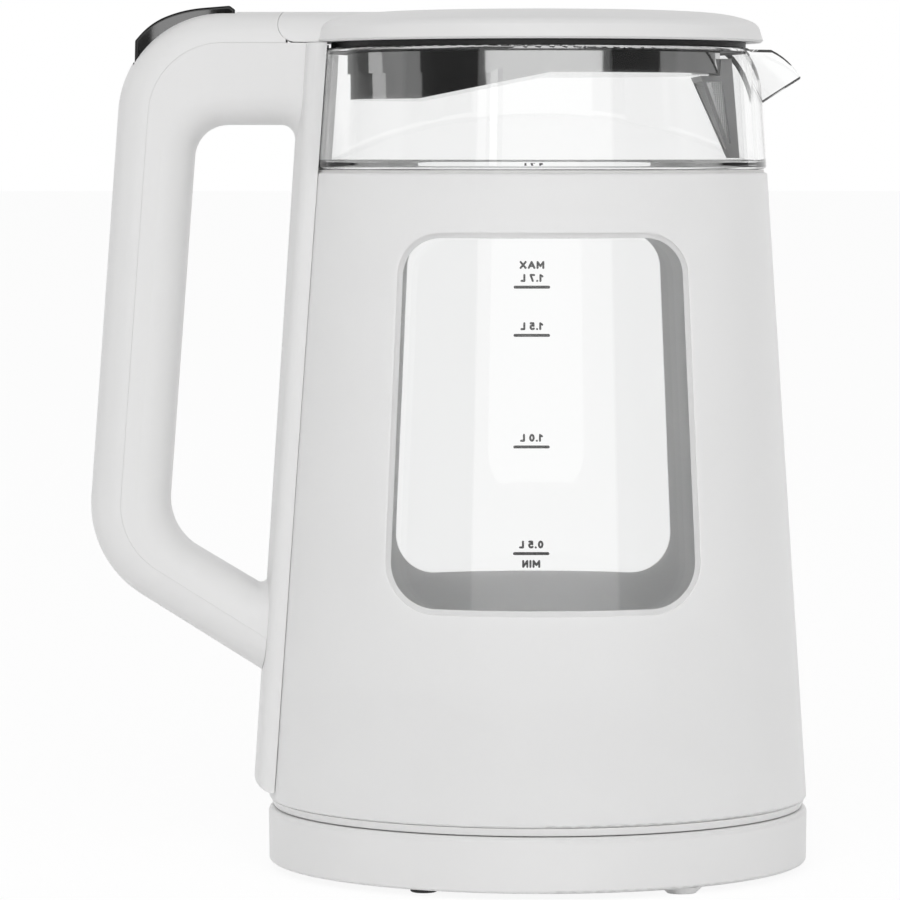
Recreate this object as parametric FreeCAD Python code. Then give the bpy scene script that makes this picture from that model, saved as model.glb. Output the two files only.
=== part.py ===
"""Cordless electric kettle with a windowed casing, a glass jug and a round power base.

Millimetres. +Z is up, +X is the pouring direction, the handle is on the -X side.
The origin is on the kettle's axis, on the surface the feet stand on.
"""

import FreeCAD
import Part
from FreeCAD import Vector

import math
import os

# Clearances between pieces that run, swing or sit on each other, and how far a cut reaches past a face
RUN = 0.05
MOVE = 0.35
SEAT = 0.1
PAST = 1.0

# Casing: a tapered cone with a window on each side
CASING_TOP_R = 68.5
CASING_FOOT_R = 80.9
CASING_TALL = 187.5
CASING_WALL = 2.2
CASING_FOOT_ROUND = 0.9
CASING_TOP_ROUND = 1.0
CASING_INNER_ROUND = 0.4
WINDOW_BELOW_TOP = 18.8
WINDOW_TALL = 106.7
WINDOW_TOP_HALF = 40.0
WINDOW_FOOT_HALF = 44.6
WINDOW_TOP_ROUND = 11.0
WINDOW_FOOT_ROUND = 13.0
WINDOW_BEVEL = 1.6
WINDOW_BEVEL_DEPTH = 0.9

# Glass jug: stands in the casing, steps out over its top edge and rises to a rim with a spout
GLASS_WALL = 2.5
JUG_GAP = 1.0
JUG_FOOT_RISE = 32.0
JUG_FOOT_ROUND = 0.5
GLASS_RISE = 36.7
RIM_ROUND = 1.1
SHOULDER_GASKET = 0.7
SHOULDER_ROUND = 0.9
SHOULDER_INNER_RISE = 2.4
SHOULDER_INNER_DROP = 3.4
SHOULDER_INNER_ROUND = 2.0
BAND_INSET = 0.1
SPOUT_ROOT_DROP = 16.7
SPOUT_ROOT_PROUD = 0.22
SPOUT_TIP_DROP = 8.3
SPOUT_REACH = 11.0
SPOUT_SLOPE = 0.637
SPOUT_HALF_ANGLE = 53.0
SPOUT_WALL = 2.1
SPOUT_KEEL_ROUND = 3.0
SPOUT_BURIED = 17.4
SPOUT_CUT = 60.0

# Power base
FOOT_TALL = 2.1
BASE_TALL = 16.2
BASE_PROUD = 0.1
BASE_WALL = 2.2
BASE_FOOT_ROUND = 1.0
BASE_TOP_ROUND = 1.6
BASE_LEAN = 0.2
BASE_PLATE_THICK = 2.0
DECK_DROP = 3.3
DECK_THICK = 2.0
DECK_RIM = 5.5
DECK_STEP = 1.2
DECK_ROUND = 0.6
PAD_R = 4.0
PAD_INSET = 12.0
PAD_SUNK = 1.0
PAD_ROUND = 0.7
STUD_INSET = 7.2
STUD_FOOT_R = 4.2
STUD_TOP_R = 6.4
OUTLET_R = 3.1
OUTLET_WALL = 1.3
OUTLET_RISE = 7.9
OUTLET_LONG = 4.0
OUTLET_LIP = 0.7
OUTLET_LIP_LONG = 1.4
OUTLET_SUNK = 1.8
BASE_SCREW_INSET = 29.0
BASE_POST_R = 4.0
CORE_R = 1.0
CORE_STEP = 2.2

# Screws
SCREW_HEAD_R = 2.8
SCREW_HEAD_TALL = 1.6
SCREW_SHANK_R = 1.2
SCREW_DRIVE_R = 0.9
SCREW_DRIVE_DEEP = 0.9
SCREW_HOLE_R = 1.7
SCREW_PILOT_R = 1.35
SCREW_SINK_R = 3.2

# Cordless connector
PLUG_TOWER_R = 12.5
PLUG_RISE = 11.0
PLUG_ROUND = 1.2
PLUG_FLANGE_R = 24.0
PLUG_FLANGE_TALL = 4.0
PIN_R = 2.5
PIN_HEAD = 1.2
PIN_RISE = 3.5
PIN_FOOT_RISE = 5.9
PIN_TIP_ROUND = 1.8
SPRING_THICK = 0.75
SPRING_HALF = 2.5
SPRING_LEG = 1.5
CONTACT_RADII = (5.7, 9.2)
CONTACT_THICK = 0.7
CONTACT_RING_TALL = 1.8
GROOVE_WIDTH = 1.4
GROOVE_RISE = 2.0
SOCKET_R = 22.0
SOCKET_PLAY = 0.7
SOCKET_ROOF_GAP = 1.0
SOCKET_RISE = 10.0
SOCKET_FLANGE = 5.0
SOCKET_FLANGE_THICK = 2.2
SLEEVE_SUNK = 5.0
SLEEVE_RISE = 2.6

# Bottom of the kettle
COVER_GAP = 0.3
COVER_THICK = 2.3
COVER_INSET = 0.6
COVER_LEAN = 1.0
COVER_LIP_GAP = 0.5
COVER_LIP_TALL = 5.0
COVER_LIP_THICK = 2.0
COVER_ROUND = 0.5
COVER_RING_HALF = 5.0
COVER_RING_INSET = 3.0
POST_INSET = 8.0
POST_R = 4.2
POST_PILOT_DEEP = 14.0

# Heater stack
CARRIER_DROP = 1.0
CARRIER_THICK = 4.0
CARRIER_INNER = 3.0
PLATE_RISE = 4.0
PLATE_THICK = 1.0
PLATE_ROUND = 1.4
SEAL_THICK = 1.9
SEAL_RISE = 5.2
SPREADER_INSET = 15.2
SPREADER_THICK = 3.5
ELEMENT_INSET = 14.0
ELEMENT_TUBE_R = 3.2
ELEMENT_LEG = 9.0
CONTROL_R = 27.0
CONTROL_GAP = 0.8
DISC_R = 8.0
DISC_SUNK = 1.2
DISC_X = 14.0

# Handle: top arm, grip, lower arm and the finger gap they leave
HANDLE_HALF = 15.0
HANDLE_ROUND = 9.3
HANDLE_WALL = 2.2
HANDLE_BELOW_LID = 0.3
HANDLE_BURIED = 22.5
CAVITY_STOP = 12.5
GRIP_REACH = 54.7
GRIP_TALL = 163.6
GRIP_LEAN = 12.0
GRIP_TOP_ROUND = 31.5
GRIP_FOOT_ROUND = 32.0
GRIP_TOP_THICK = 21.0
GRIP_FOOT_THICK = 24.0
ARM_SLOPE = -0.6286
ARM_TALL = 24.82
TOP_ARM_THICK = 33.6
GAP_FOOT_RISE = 8.8
GAP_TOP_ROUND = 10.0
GAP_FOOT_ROUND = 17.0
GAP_ARM_ROUND = 2.0
GAP_SPINE_ROUND = 4.2
PARTING_DEPTH = 9.3
PARTING_GAP = 0.04
WIRE_R = 0.9
WIRE_Y = 2.4
WIRE_BEND = 6.0

# Spine strip between the casing and the handle
SPINE_PROUD = 4.8
SPINE_FOOT_RISE = 2.7
SPINE_FOOT_HALF = 17.5
SPINE_TOP_HALF = 20.5
SPINE_ROUND = 3.8
SPINE_SCREW_RISE = 9.0
SPINE_SCREW_Y = 9.0
SPINE_SCREW_LONG = 5.4
SPINE_SCREW_SKIN = 1.2
SPINE_HEAD_STAND = 0.9
CHANNEL_HALF = 6.0
CHANNEL_DEPTH = 3.2
CHANNEL_RISE = 12.0
CHANNEL_STOP = 1.7
DOORWAY_DROP = 5.7
DOORWAY_TALL = 12.0
WIRE_HOLE_RISE = 13.0
WIRE_HOLE_TALL = 10.0

# Lid, its hinge, seal and steel cup
LID_GAP = 1.9
LID_TALL = 9.4
LID_SEAM = 0.10
LID_OVER = 1.127
LID_EDGE = 0.6
LID_CROWN = (
    (1.2, 5.1), (2.2, 3.95), (5.2, 2.55), (9.2, 1.5), (15.2, 0.72), (24.2, 0.3), (35.2, 0.12), (50.2, 0.02)
)
LID_HOLLOW = ((15.2, 2.9, 4.0), (37.2, 1.9, 0.0))
LID_SKIN = 1.7
LID_HOLLOW_EDGE = 6.1
LID_SCREW_INSET = 19.2
LID_POST_R = 3.4
LID_POST_DROP = 2.1
LID_PILOT_DROP = 3.9
LID_SCREW_LONG = 8.4
HINGE_BEHIND = 5.1
HINGE_RISE = 5.25
HINGE_PIN_R = 1.2
HINGE_PIN_HALF = 11.6
KNUCKLE_R = 2.3
KNUCKLE_HALF = 7.5
KNUCKLE_PLAY = 0.4
BRACKET_BACK = 3.6
BRACKET_FRONT = 4.2
BRACKET_TALL = 8.7
WEB_HALF = 1.6
COVER_STOP = 2.9
TRAY_INSET = 5.2
TRAY_DROP = 2.7
TRAY_STEP = 1.6
TRAY_STEP_TALL = 1.0
SEAL_LIP = 0.7
CUP_INSET = 4.8
CUP_FLAT = 4.8
CUP_DEEP = 6.9
CUP_SUMP = 7.5
CUP_SUMP_LONG = 21.9
CUP_SUMP_RAMP = 37.4
CUP_SUMP_ROUND = 6.0
CUP_STEP = 0.8
CUP_WALL = 0.7

# Spout filter hanging on the cup
FILTER_RISE = 4.4
FILTER_TALL = 29.2
FILTER_TOP_HALF = 22.0
FILTER_FOOT_HALF = 6.5
FILTER_BAR = 1.6
FILTER_CORE = 1.0
FILTER_HOOK = 6.6
FILTER_HOOK_TALL = 5.0
FILTER_BEHIND = 5.6
FILTER_FRONT = 2.95
FILTER_TOE = (4.45, 7.15)
PANEL_TOP = (-4.0, 0.7)
PANEL_TOE = (3.65, 4.2)
PANEL_RISE = 4.2
MESH_THICK = 0.4
MESH_SUNK = 0.3

# Thumb rocker on the handle: points from the grip's upper corner, as (inwards, upwards, corner)
ROCKER_CROWN = ((3.0, -8.6, 1.2), (7.7, -3.2, 21.0), (17.7, 0.7, 38.0), (31.2, 1.8, 1.2), (32.8, 0.6, 0.4))
ROCKER_SILL = ((32.8, -5.2, 0.0), (17.2, -10.2, 6.0), (2.8, -17.7, 0.0))
ROCKER_HOLLOW = ((5.2, -9.8, 1.0), (8.8, -5.8, 2.0), (18.2, -2.0, 2.0), (30.2, -0.6, 1.0))
ROCKER_HOLLOW_FOOT = 20.2
ROCKER_PIVOT_IN = 17.8
ROCKER_PIVOT_DROP = 7.6
ROCKER_HALF = 8.4
ROCKER_WALL = 1.8
ROCKER_ROUND = 0.8
ROCKER_PIN_R = 1.0
ROCKER_BOSS_R = 2.6
ROCKER_PLAY = 0.45
ROCKER_SINK = 3.0

# Steam switch under the rocker
SWITCH_IN = (15.2, 32.2)
SWITCH_HALF = 6.2
SWITCH_RISE = 2.6
SWITCH_TALL = 8.9
SWITCH_FOOT_LONG = 3.0
SWITCH_FOOT_HALF = 5.0
EAR_IN = 4.6
EAR_THICK = 1.5
EAR_R = 2.4
STEAM_DISC_R = 5.0
STEAM_DISC_THICK = 0.5

# Heights that follow, from the table up
BASE_FOOT_Z = FOOT_TALL
BASE_TOP_Z = BASE_FOOT_Z + BASE_TALL
BASE_DECK_Z = BASE_TOP_Z - DECK_DROP
DECK_FOOT_Z = BASE_DECK_Z - DECK_THICK
BASE_PLATE_TOP_Z = BASE_FOOT_Z + BASE_PLATE_THICK
OUTLET_Z = BASE_FOOT_Z + OUTLET_RISE
PLUG_FOOT_Z = DECK_FOOT_Z - PLUG_FLANGE_TALL
PLUG_TOP_Z = BASE_DECK_Z + PLUG_RISE
PIN_FOOT_Z = BASE_FOOT_Z + PIN_FOOT_RISE
PIN_TOP_Z = PLUG_TOP_Z + PIN_RISE
GROOVE_FOOT_Z = BASE_DECK_Z + GROOVE_RISE
SOCKET_ROOF_Z = PLUG_TOP_Z + SOCKET_ROOF_GAP
SOCKET_TOP_Z = PLUG_TOP_Z + SOCKET_RISE
COVER_FOOT_Z = BASE_TOP_Z + COVER_GAP
COVER_TOP_Z = COVER_FOOT_Z + COVER_THICK
CASING_FOOT_Z = COVER_TOP_Z + SEAT
CASING_TOP_Z = CASING_FOOT_Z + CASING_TALL
WINDOW_TOP_Z = CASING_TOP_Z - WINDOW_BELOW_TOP
WINDOW_FOOT_Z = WINDOW_TOP_Z - WINDOW_TALL
JUG_FOOT_Z = CASING_FOOT_Z + JUG_FOOT_RISE
CARRIER_TOP_Z = JUG_FOOT_Z - CARRIER_DROP
CARRIER_FOOT_Z = CARRIER_TOP_Z - CARRIER_THICK
PLATE_Z = JUG_FOOT_Z + PLATE_RISE
SPREADER_TOP_Z = PLATE_Z - PLATE_THICK
SPREADER_FOOT_Z = SPREADER_TOP_Z - SPREADER_THICK
CONTROL_TOP_Z = SPREADER_FOOT_Z - CONTROL_GAP
SHOULDER_Z = CASING_TOP_Z + SHOULDER_GASKET + SEAT
RIM_Z = CASING_TOP_Z + GLASS_RISE
LID_FOOT_Z = RIM_Z + LID_GAP
LID_TOP_Z = LID_FOOT_Z + LID_TALL
HINGE_Z = LID_FOOT_Z + HINGE_RISE
TRAY_FOOT_Z = LID_FOOT_Z - TRAY_DROP
CUP_FOOT_Z = TRAY_FOOT_Z - CUP_DEEP
CUP_SUMP_Z = CUP_FOOT_Z - CUP_SUMP
FILTER_TOP_Z = CUP_FOOT_Z + FILTER_RISE
FILTER_FOOT_Z = FILTER_TOP_Z - FILTER_TALL
HANDLE_TOP_Z = LID_TOP_Z - HANDLE_BELOW_LID
GAP_TOP_Z = HANDLE_TOP_Z - TOP_ARM_THICK
GRIP_FOOT_Z = HANDLE_TOP_Z - GRIP_TALL
GAP_FOOT_Z = GRIP_FOOT_Z + GAP_FOOT_RISE
SPINE_FOOT_Z = CASING_FOOT_Z + SPINE_FOOT_RISE
SPINE_TOP_Z = HANDLE_TOP_Z - PARTING_DEPTH - PARTING_GAP
SPINE_SCREW_Z = CASING_FOOT_Z + SPINE_SCREW_RISE
WIRE_HOLE_Z = (CASING_FOOT_Z + WIRE_HOLE_RISE, CASING_FOOT_Z + WIRE_HOLE_RISE + WIRE_HOLE_TALL)
BRACKET_FOOT_Z = SPINE_TOP_Z - BRACKET_TALL
SWITCH_FLOOR_Z = GAP_TOP_Z + HANDLE_WALL
SWITCH_Z = (SWITCH_FLOOR_Z + SWITCH_RISE, SWITCH_FLOOR_Z + SWITCH_RISE + SWITCH_TALL)

# Radii and places that follow
CASING_TAPER = (CASING_FOOT_R - CASING_TOP_R) / CASING_TALL
BASE_R = CASING_FOOT_R + BASE_PROUD
DECK_R = BASE_R - DECK_RIM
PAD_CIRCLE_R = BASE_R - PAD_INSET
STUD_CIRCLE_R = BASE_R - STUD_INSET
BASE_SCREW_R = BASE_R - BASE_SCREW_INSET
POST_CIRCLE_R = DECK_R - POST_INSET
RIM_R = CASING_TOP_R - GLASS_RISE * CASING_TAPER
LID_R = RIM_R + LID_OVER
LID_SCREW_R = LID_R - LID_SCREW_INSET
TRAY_R = LID_R - TRAY_INSET
CUP_R = TRAY_R - CUP_INSET
CUP_FRONT_X = CUP_R - CUP_FLAT
FILTER_BACK_X = CUP_FRONT_X + MOVE
HINGE_X = -LID_R - HINGE_BEHIND
BRACKET_X = (HINGE_X - BRACKET_BACK, HINGE_X + BRACKET_FRONT)
HANDLE_END_X = HANDLE_BURIED - CASING_TOP_R
CAVITY_END_X = -CASING_TOP_R - CAVITY_STOP
GRIP_TOP_X = -CASING_TOP_R - GRIP_REACH
GRIP_FOOT_X = GRIP_TOP_X - GRIP_LEAN
GAP_TOP_X = GRIP_TOP_X + GRIP_TOP_THICK
GAP_FOOT_X = GRIP_FOOT_X + GRIP_FOOT_THICK
SPINE_TABLE_R = CASING_TOP_R + CASING_TOP_Z * CASING_TAPER + SPINE_PROUD
ROCKER_PIVOT = (GRIP_TOP_X + ROCKER_PIVOT_IN, HANDLE_TOP_Z - ROCKER_PIVOT_DROP)
SWITCH_X = (GRIP_TOP_X + SWITCH_IN[0], GRIP_TOP_X + SWITCH_IN[1])
WIDE = 2 * CASING_FOOT_R

# Top of the lower arm where it meets the leaning spine, and the wire way behind it
GAP_ARM_LINE_Z = GRIP_FOOT_Z + ARM_TALL - ARM_SLOPE * (SPINE_TABLE_R + GRIP_FOOT_X)
GAP_ARM_Z = GAP_ARM_LINE_Z / (1 - ARM_SLOPE * CASING_TAPER)
CHANNEL_Z = (CASING_FOOT_Z + CHANNEL_RISE, GAP_ARM_Z - CHANNEL_STOP)
DOORWAY_Z = (GAP_ARM_Z - DOORWAY_DROP - DOORWAY_TALL, GAP_ARM_Z - DOORWAY_DROP)

# Angles round the axis
FOOT_PAD_ANGLES = (-120.0, 0.0, 120.0)
STUD_ANGLES = (-57.0, 57.0, 180.0)
BASE_SCREW_ANGLES = (-90.0, 30.0, 150.0)
POST_ANGLES = (45.0, 135.0, 225.0, 315.0)
LID_SCREW_ANGLES = (60.0, 180.0, 300.0)
ELEMENT_START_ANGLE = 20.0
ELEMENT_SWEEP_ANGLE = 320.0
TURN = 360.0

UP = Vector(0, 0, 1)
ALONG_X = Vector(1, 0, 0)
ALONG_Y = Vector(0, 1, 0)
ORIGIN = Vector(0, 0, 0)


# Shape helpers
def body_r(z):
    """Radius of the casing's outer cone at a height."""
    return CASING_TOP_R + (CASING_TOP_Z - z) * CASING_TAPER


def jug_r(z):
    """Outer radius of the glass behind the casing."""
    return body_r(z) - CASING_WALL - JUG_GAP


def unit(u, v):
    length = math.hypot(u, v)
    return u / length, v / length


def outline(points, place, closed=True):
    """Wire through (u, v, corner radius) points, set in space by place(u, v)."""
    count = len(points)
    stops = []
    for i, (u, v, radius) in enumerate(points):
        at_end = not closed and i in (0, count - 1)
        if radius <= 0 or at_end:
            stops.append(((u, v), None, (u, v)))
            continue
        a = unit(points[i - 1][0] - u, points[i - 1][1] - v)
        after = points[(i + 1) % count]
        b = unit(after[0] - u, after[1] - v)
        half = math.acos(max(-1.0, min(1.0, a[0] * b[0] + a[1] * b[1]))) / 2
        reach = radius / math.tan(half)
        middle = unit(a[0] + b[0], a[1] + b[1])
        depth = radius / math.sin(half) - radius
        start = (u + a[0] * reach, v + a[1] * reach)
        end = (u + b[0] * reach, v + b[1] * reach)
        stops.append((start, (u + middle[0] * depth, v + middle[1] * depth), end))
    edges = []
    for i, (start, bulge, end) in enumerate(stops):
        if bulge:
            edges.append(Part.Arc(place(*start), place(*bulge), place(*end)).toShape())
        if closed or i < count - 1:
            following = stops[(i + 1) % count][0]
            if math.dist(end, following) > 1e-6:
                edges.append(Part.makeLine(place(*end), place(*following)))
    return Part.Wire(edges)


def in_xz(y=0.0):
    return lambda u, v: Vector(u, y, v)


def in_yz(x=0.0):
    return lambda u, v: Vector(x, u, v)


def plain(points):
    """Give every (u, v) point a sharp corner."""
    return [(u, v, 0.0) for u, v in points]


def turned(points):
    """Solid of revolution about the kettle's axis from an (r, z, corner) outline."""
    face = Part.Face(outline(points, in_xz()))
    return face.revolve(ORIGIN, UP, TURN)


def slab_y(points, low, high):
    """Side outline in X and Z, drawn out across the kettle."""
    face = Part.Face(outline(points, in_xz(low)))
    return face.extrude(Vector(0, high - low, 0))


def slab_x(points, low, high):
    """End outline in Y and Z, drawn out along the pouring direction."""
    face = Part.Face(outline(points, in_yz(low)))
    return face.extrude(Vector(high - low, 0, 0))


def box(x, y, z):
    return Part.makeBox(x[1] - x[0], y[1] - y[0], z[1] - z[0], Vector(x[0], y[0], z[0]))


def both_ways(half):
    return (-half, half)


def rod(radius, low, high, x=0.0, y=0.0):
    return Part.makeCylinder(radius, high - low, Vector(x, y, low), UP)


def rod_y(radius, half, x, z):
    return Part.makeCylinder(radius, 2 * half, Vector(x, -half, z), ALONG_Y)


def ring(inner, outer, low, high):
    return rod(outer, low, high).cut(rod(inner, low - PAST, high + PAST))


def polar(radius, degrees):
    angle = math.radians(degrees)
    return radius * math.cos(angle), radius * math.sin(angle)


def around(radius, angles):
    """Places on a circle about the axis."""
    return [polar(radius, angle) for angle in angles]


def fused(shapes):
    """One clean solid from touching shapes."""
    return shapes[0].multiFuse(shapes[1:]).removeSplitter()


def tube(points, radius, y):
    """Round wire along an open side path of (x, z, bend radius) points."""
    path = outline(points, in_xz(y), closed=False)
    first, second = points[0], points[1]
    heading = Vector(second[0] - first[0], 0, second[1] - first[1])
    start = Part.Wire(Part.makeCircle(radius, Vector(first[0], y, first[1]), heading))
    return path.makePipeShell([start], True, False)


def cone_shell(inner, outer, low, high):
    """Ring between two radii counted from the casing's outer cone."""
    corners = [
        (body_r(low) + inner, low),
        (body_r(low) + outer, low),
        (body_r(high) + outer, high),
        (body_r(high) + inner, high),
    ]
    return turned(plain(corners))


def cone_core(offset, low, high):
    """Solid cone parallel to the casing's outer face."""
    corners = [(0, low), (body_r(low) + offset, low), (body_r(high) + offset, high), (0, high)]
    return turned(plain(corners))


def pan_screws(places, head_z, length):
    """Pan screws driven upwards, the lower face of each head at head_z."""
    seat_z = head_z + SCREW_HEAD_TALL
    screws = []
    for x, y in places:
        head = rod(SCREW_HEAD_R, head_z, seat_z, x, y)
        shank = rod(SCREW_SHANK_R, seat_z, head_z + length, x, y)
        drive = rod(SCREW_DRIVE_R, head_z - PAST, head_z + SCREW_DRIVE_DEEP, x, y)
        screws.append(head.fuse(shank).cut(drive).removeSplitter())
    return Part.makeCompound(screws)


# Power base
def base_shell():
    wall_in = BASE_R - BASE_WALL
    under_z = BASE_TOP_Z - DECK_THICK
    skin = turned([
        (wall_in, BASE_FOOT_Z, 0),
        (BASE_R - BASE_LEAN, BASE_FOOT_Z, BASE_FOOT_ROUND),
        (BASE_R, BASE_TOP_Z, BASE_TOP_ROUND),
        (DECK_R, BASE_TOP_Z, DECK_ROUND),
        (DECK_R - DECK_STEP, BASE_DECK_Z, DECK_ROUND),
        (PLUG_TOWER_R + SEAT, BASE_DECK_Z, 0),
        (PLUG_TOWER_R + SEAT, DECK_FOOT_Z, 0),
        (DECK_R + DECK_STEP / 3, DECK_FOOT_Z, DECK_ROUND),
        (DECK_R + DECK_STEP, under_z, DECK_ROUND),
        (wall_in, under_z, BASE_FOOT_ROUND),
    ])
    posts = []
    for x, y in around(BASE_SCREW_R, BASE_SCREW_ANGLES):
        post = rod(BASE_POST_R, BASE_PLATE_TOP_Z, DECK_FOOT_Z, x, y)
        pilot = rod(SCREW_PILOT_R, BASE_PLATE_TOP_Z - PAST, DECK_FOOT_Z - PAST, x, y)
        posts.append(post.cut(pilot))
    hole_r = OUTLET_R + OUTLET_WALL + SEAT
    outlet = Part.makeCylinder(hole_r, 2 * DECK_RIM, Vector(0, BASE_R - DECK_RIM, OUTLET_Z), ALONG_Y)
    return fused([skin] + posts).cut(outlet)


def base_bottom_plate():
    plate = rod(BASE_R - BASE_WALL - SEAT, BASE_FOOT_Z, BASE_PLATE_TOP_Z)
    studs = []
    for x, y in around(STUD_CIRCLE_R, STUD_ANGLES):
        studs.append(Part.makeCone(STUD_FOOT_R, STUD_TOP_R, BASE_FOOT_Z, Vector(x, y, 0), UP))
    plate = fused([plate] + studs)
    for x, y in around(PAD_CIRCLE_R, FOOT_PAD_ANGLES):
        plate = plate.cut(rod(PAD_R + SEAT, BASE_FOOT_Z - PAST, BASE_FOOT_Z + PAD_SUNK, x, y))
    for x, y in around(BASE_SCREW_R, BASE_SCREW_ANGLES):
        plate = plate.cut(rod(SCREW_HOLE_R, 0, BASE_PLATE_TOP_Z + PAST, x, y))
    return plate


def base_feet():
    pads = []
    for x, y in around(PAD_CIRCLE_R, FOOT_PAD_ANGLES):
        pad = rod(PAD_R, 0, BASE_FOOT_Z + PAD_SUNK, x, y)
        rim = [e for e in pad.Edges if abs(e.BoundBox.ZMax) < 1e-6]
        pads.append(pad.makeFillet(PAD_ROUND, rim))
    return Part.makeCompound(pads)


def base_screws():
    head_z = BASE_FOOT_Z - SCREW_HEAD_TALL - RUN
    length = DECK_FOOT_Z - DECK_THICK - head_z
    return pan_screws(around(BASE_SCREW_R, BASE_SCREW_ANGLES), head_z, length)


def cord_outlet():
    """Flanged bush in the back of the base, where the mains cord leaves."""
    deep = BASE_R - BASE_WALL - OUTLET_SUNK
    start = Vector(0, deep, OUTLET_Z)
    body = Part.makeCylinder(OUTLET_R + OUTLET_WALL, OUTLET_LONG, start, ALONG_Y)
    lip = Part.makeCylinder(OUTLET_R + OUTLET_WALL + OUTLET_LIP, OUTLET_LIP_LONG, start, ALONG_Y)
    hole = Part.makeCylinder(OUTLET_R, 3 * OUTLET_LONG, Vector(0, deep - OUTLET_LONG, OUTLET_Z), ALONG_Y)
    return body.fuse(lip).cut(hole).removeSplitter()


def connector_plug():
    tower = turned([
        (PIN_R + RUN, PLUG_FOOT_Z, 0),
        (PLUG_FLANGE_R, PLUG_FOOT_Z, 0),
        (PLUG_FLANGE_R, DECK_FOOT_Z - SEAT, 0),
        (PLUG_TOWER_R, DECK_FOOT_Z - SEAT, 0),
        (PLUG_TOWER_R, PLUG_TOP_Z, PLUG_ROUND),
        (PIN_R + RUN, PLUG_TOP_Z, 0),
    ])
    half = GROOVE_WIDTH / 2
    for radius in CONTACT_RADII:
        tower = tower.cut(ring(radius - half, radius + half, GROOVE_FOOT_Z, PLUG_TOP_Z + PAST))
    return tower


def plug_contacts():
    """Two brass rings at the foot of the plug's grooves."""
    half = GROOVE_WIDTH / 2 - SEAT / 2
    top = GROOVE_FOOT_Z + CONTACT_RING_TALL
    return Part.makeCompound([ring(r - half, r + half, GROOVE_FOOT_Z, top) for r in CONTACT_RADII])


def centre_pin():
    head_top = PLUG_FOOT_Z - MOVE
    return turned([
        (0, PIN_FOOT_Z, 0),
        (PIN_R + PIN_HEAD, PIN_FOOT_Z, SEAT),
        (PIN_R + PIN_HEAD, head_top, SEAT),
        (PIN_R, head_top, 0),
        (PIN_R, PIN_TOP_Z, PIN_TIP_ROUND),
        (0, PIN_TOP_Z, 0),
    ])


def pin_spring():
    """Leaf under the pin that carries the earth current, on a leg from the deck."""
    top = PIN_FOOT_Z - MOVE
    end = PLUG_FLANGE_R + SPRING_LEG + PAST / 2
    leaf = box((-PIN_R - SPRING_LEG, end), both_ways(SPRING_HALF), (top - SPRING_THICK, top))
    leg = box((end - SPRING_LEG, end), both_ways(SPRING_HALF), (top - SPRING_THICK, DECK_FOOT_Z))
    return leaf.fuse(leg).removeSplitter()


def base_wires():
    """Three cores from the outlet bush to the plug's flange."""
    cores = []
    inner_y = PLUG_FLANGE_R - 4 * CORE_R
    length = BASE_R - BASE_WALL - 6 * CORE_R - inner_y
    for x in (-CORE_STEP, 0.0, CORE_STEP):
        start = Vector(x, inner_y, BASE_PLATE_TOP_Z + CORE_R + SEAT)
        cores.append(Part.makeCylinder(CORE_R, length, start, ALONG_Y))
    return Part.makeCompound(cores)


# Heater, control and bottom of the kettle
def bottom_cover():
    outer = CASING_FOOT_R - COVER_INSET
    lip = CASING_FOOT_R - CASING_WALL - COVER_LIP_GAP
    lip_top = COVER_TOP_Z + COVER_LIP_TALL
    hole = SOCKET_R + SEAT
    ring_in = POST_CIRCLE_R - COVER_RING_HALF
    ring_out = DECK_R - COVER_RING_INSET
    ring_foot = BASE_DECK_Z + MOVE
    cover = turned([
        (hole, COVER_FOOT_Z, 0),
        (ring_in, COVER_FOOT_Z, 0),
        (ring_in, ring_foot, COVER_ROUND),
        (ring_out - COVER_ROUND, ring_foot, COVER_ROUND),
        (ring_out, COVER_FOOT_Z, 0),
        (outer - COVER_LEAN, COVER_FOOT_Z, COVER_ROUND),
        (outer, COVER_TOP_Z, COVER_ROUND / 2),
        (lip, COVER_TOP_Z, 0),
        (lip - COVER_ROUND / 2, lip_top, COVER_ROUND),
        (lip - COVER_LIP_THICK, lip_top, COVER_ROUND),
        (lip - COVER_LIP_THICK, COVER_TOP_Z, 0),
        (hole, COVER_TOP_Z, 0),
    ])
    for x, y in around(POST_CIRCLE_R, POST_ANGLES):
        cover = cover.cut(rod(SCREW_HOLE_R, BASE_DECK_Z - PAST, COVER_TOP_Z + PAST, x, y))
        cover = cover.cut(rod(SCREW_SINK_R, BASE_DECK_Z - PAST, COVER_FOOT_Z, x, y))
    return cover


def cover_screws():
    head_z = COVER_FOOT_Z - SCREW_HEAD_TALL - RUN
    length = COVER_THICK + POST_PILOT_DEEP - PLATE_RISE
    return pan_screws(around(POST_CIRCLE_R, POST_ANGLES), head_z, length)


def jug_carrier():
    """Ring under the jug and plate, on posts that stand on the bottom cover."""
    outer = body_r(CARRIER_FOOT_Z) - CASING_WALL - COVER_LIP_GAP
    pieces = [ring(spreader_r() + CARRIER_INNER, outer, CARRIER_FOOT_Z, CARRIER_TOP_Z)]
    places = around(POST_CIRCLE_R, POST_ANGLES)
    for x, y in places:
        pieces.append(rod(POST_R, COVER_TOP_Z, CARRIER_FOOT_Z, x, y))
    carrier = fused(pieces)
    for x, y in places:
        carrier = carrier.cut(rod(SCREW_PILOT_R, COVER_TOP_Z - PAST, COVER_TOP_Z + POST_PILOT_DEEP, x, y))
    return carrier


def seal_inner_r():
    return jug_r(JUG_FOOT_Z) - GLASS_WALL - SEAL_THICK


def spreader_r():
    return seal_inner_r() - SPREADER_INSET


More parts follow.
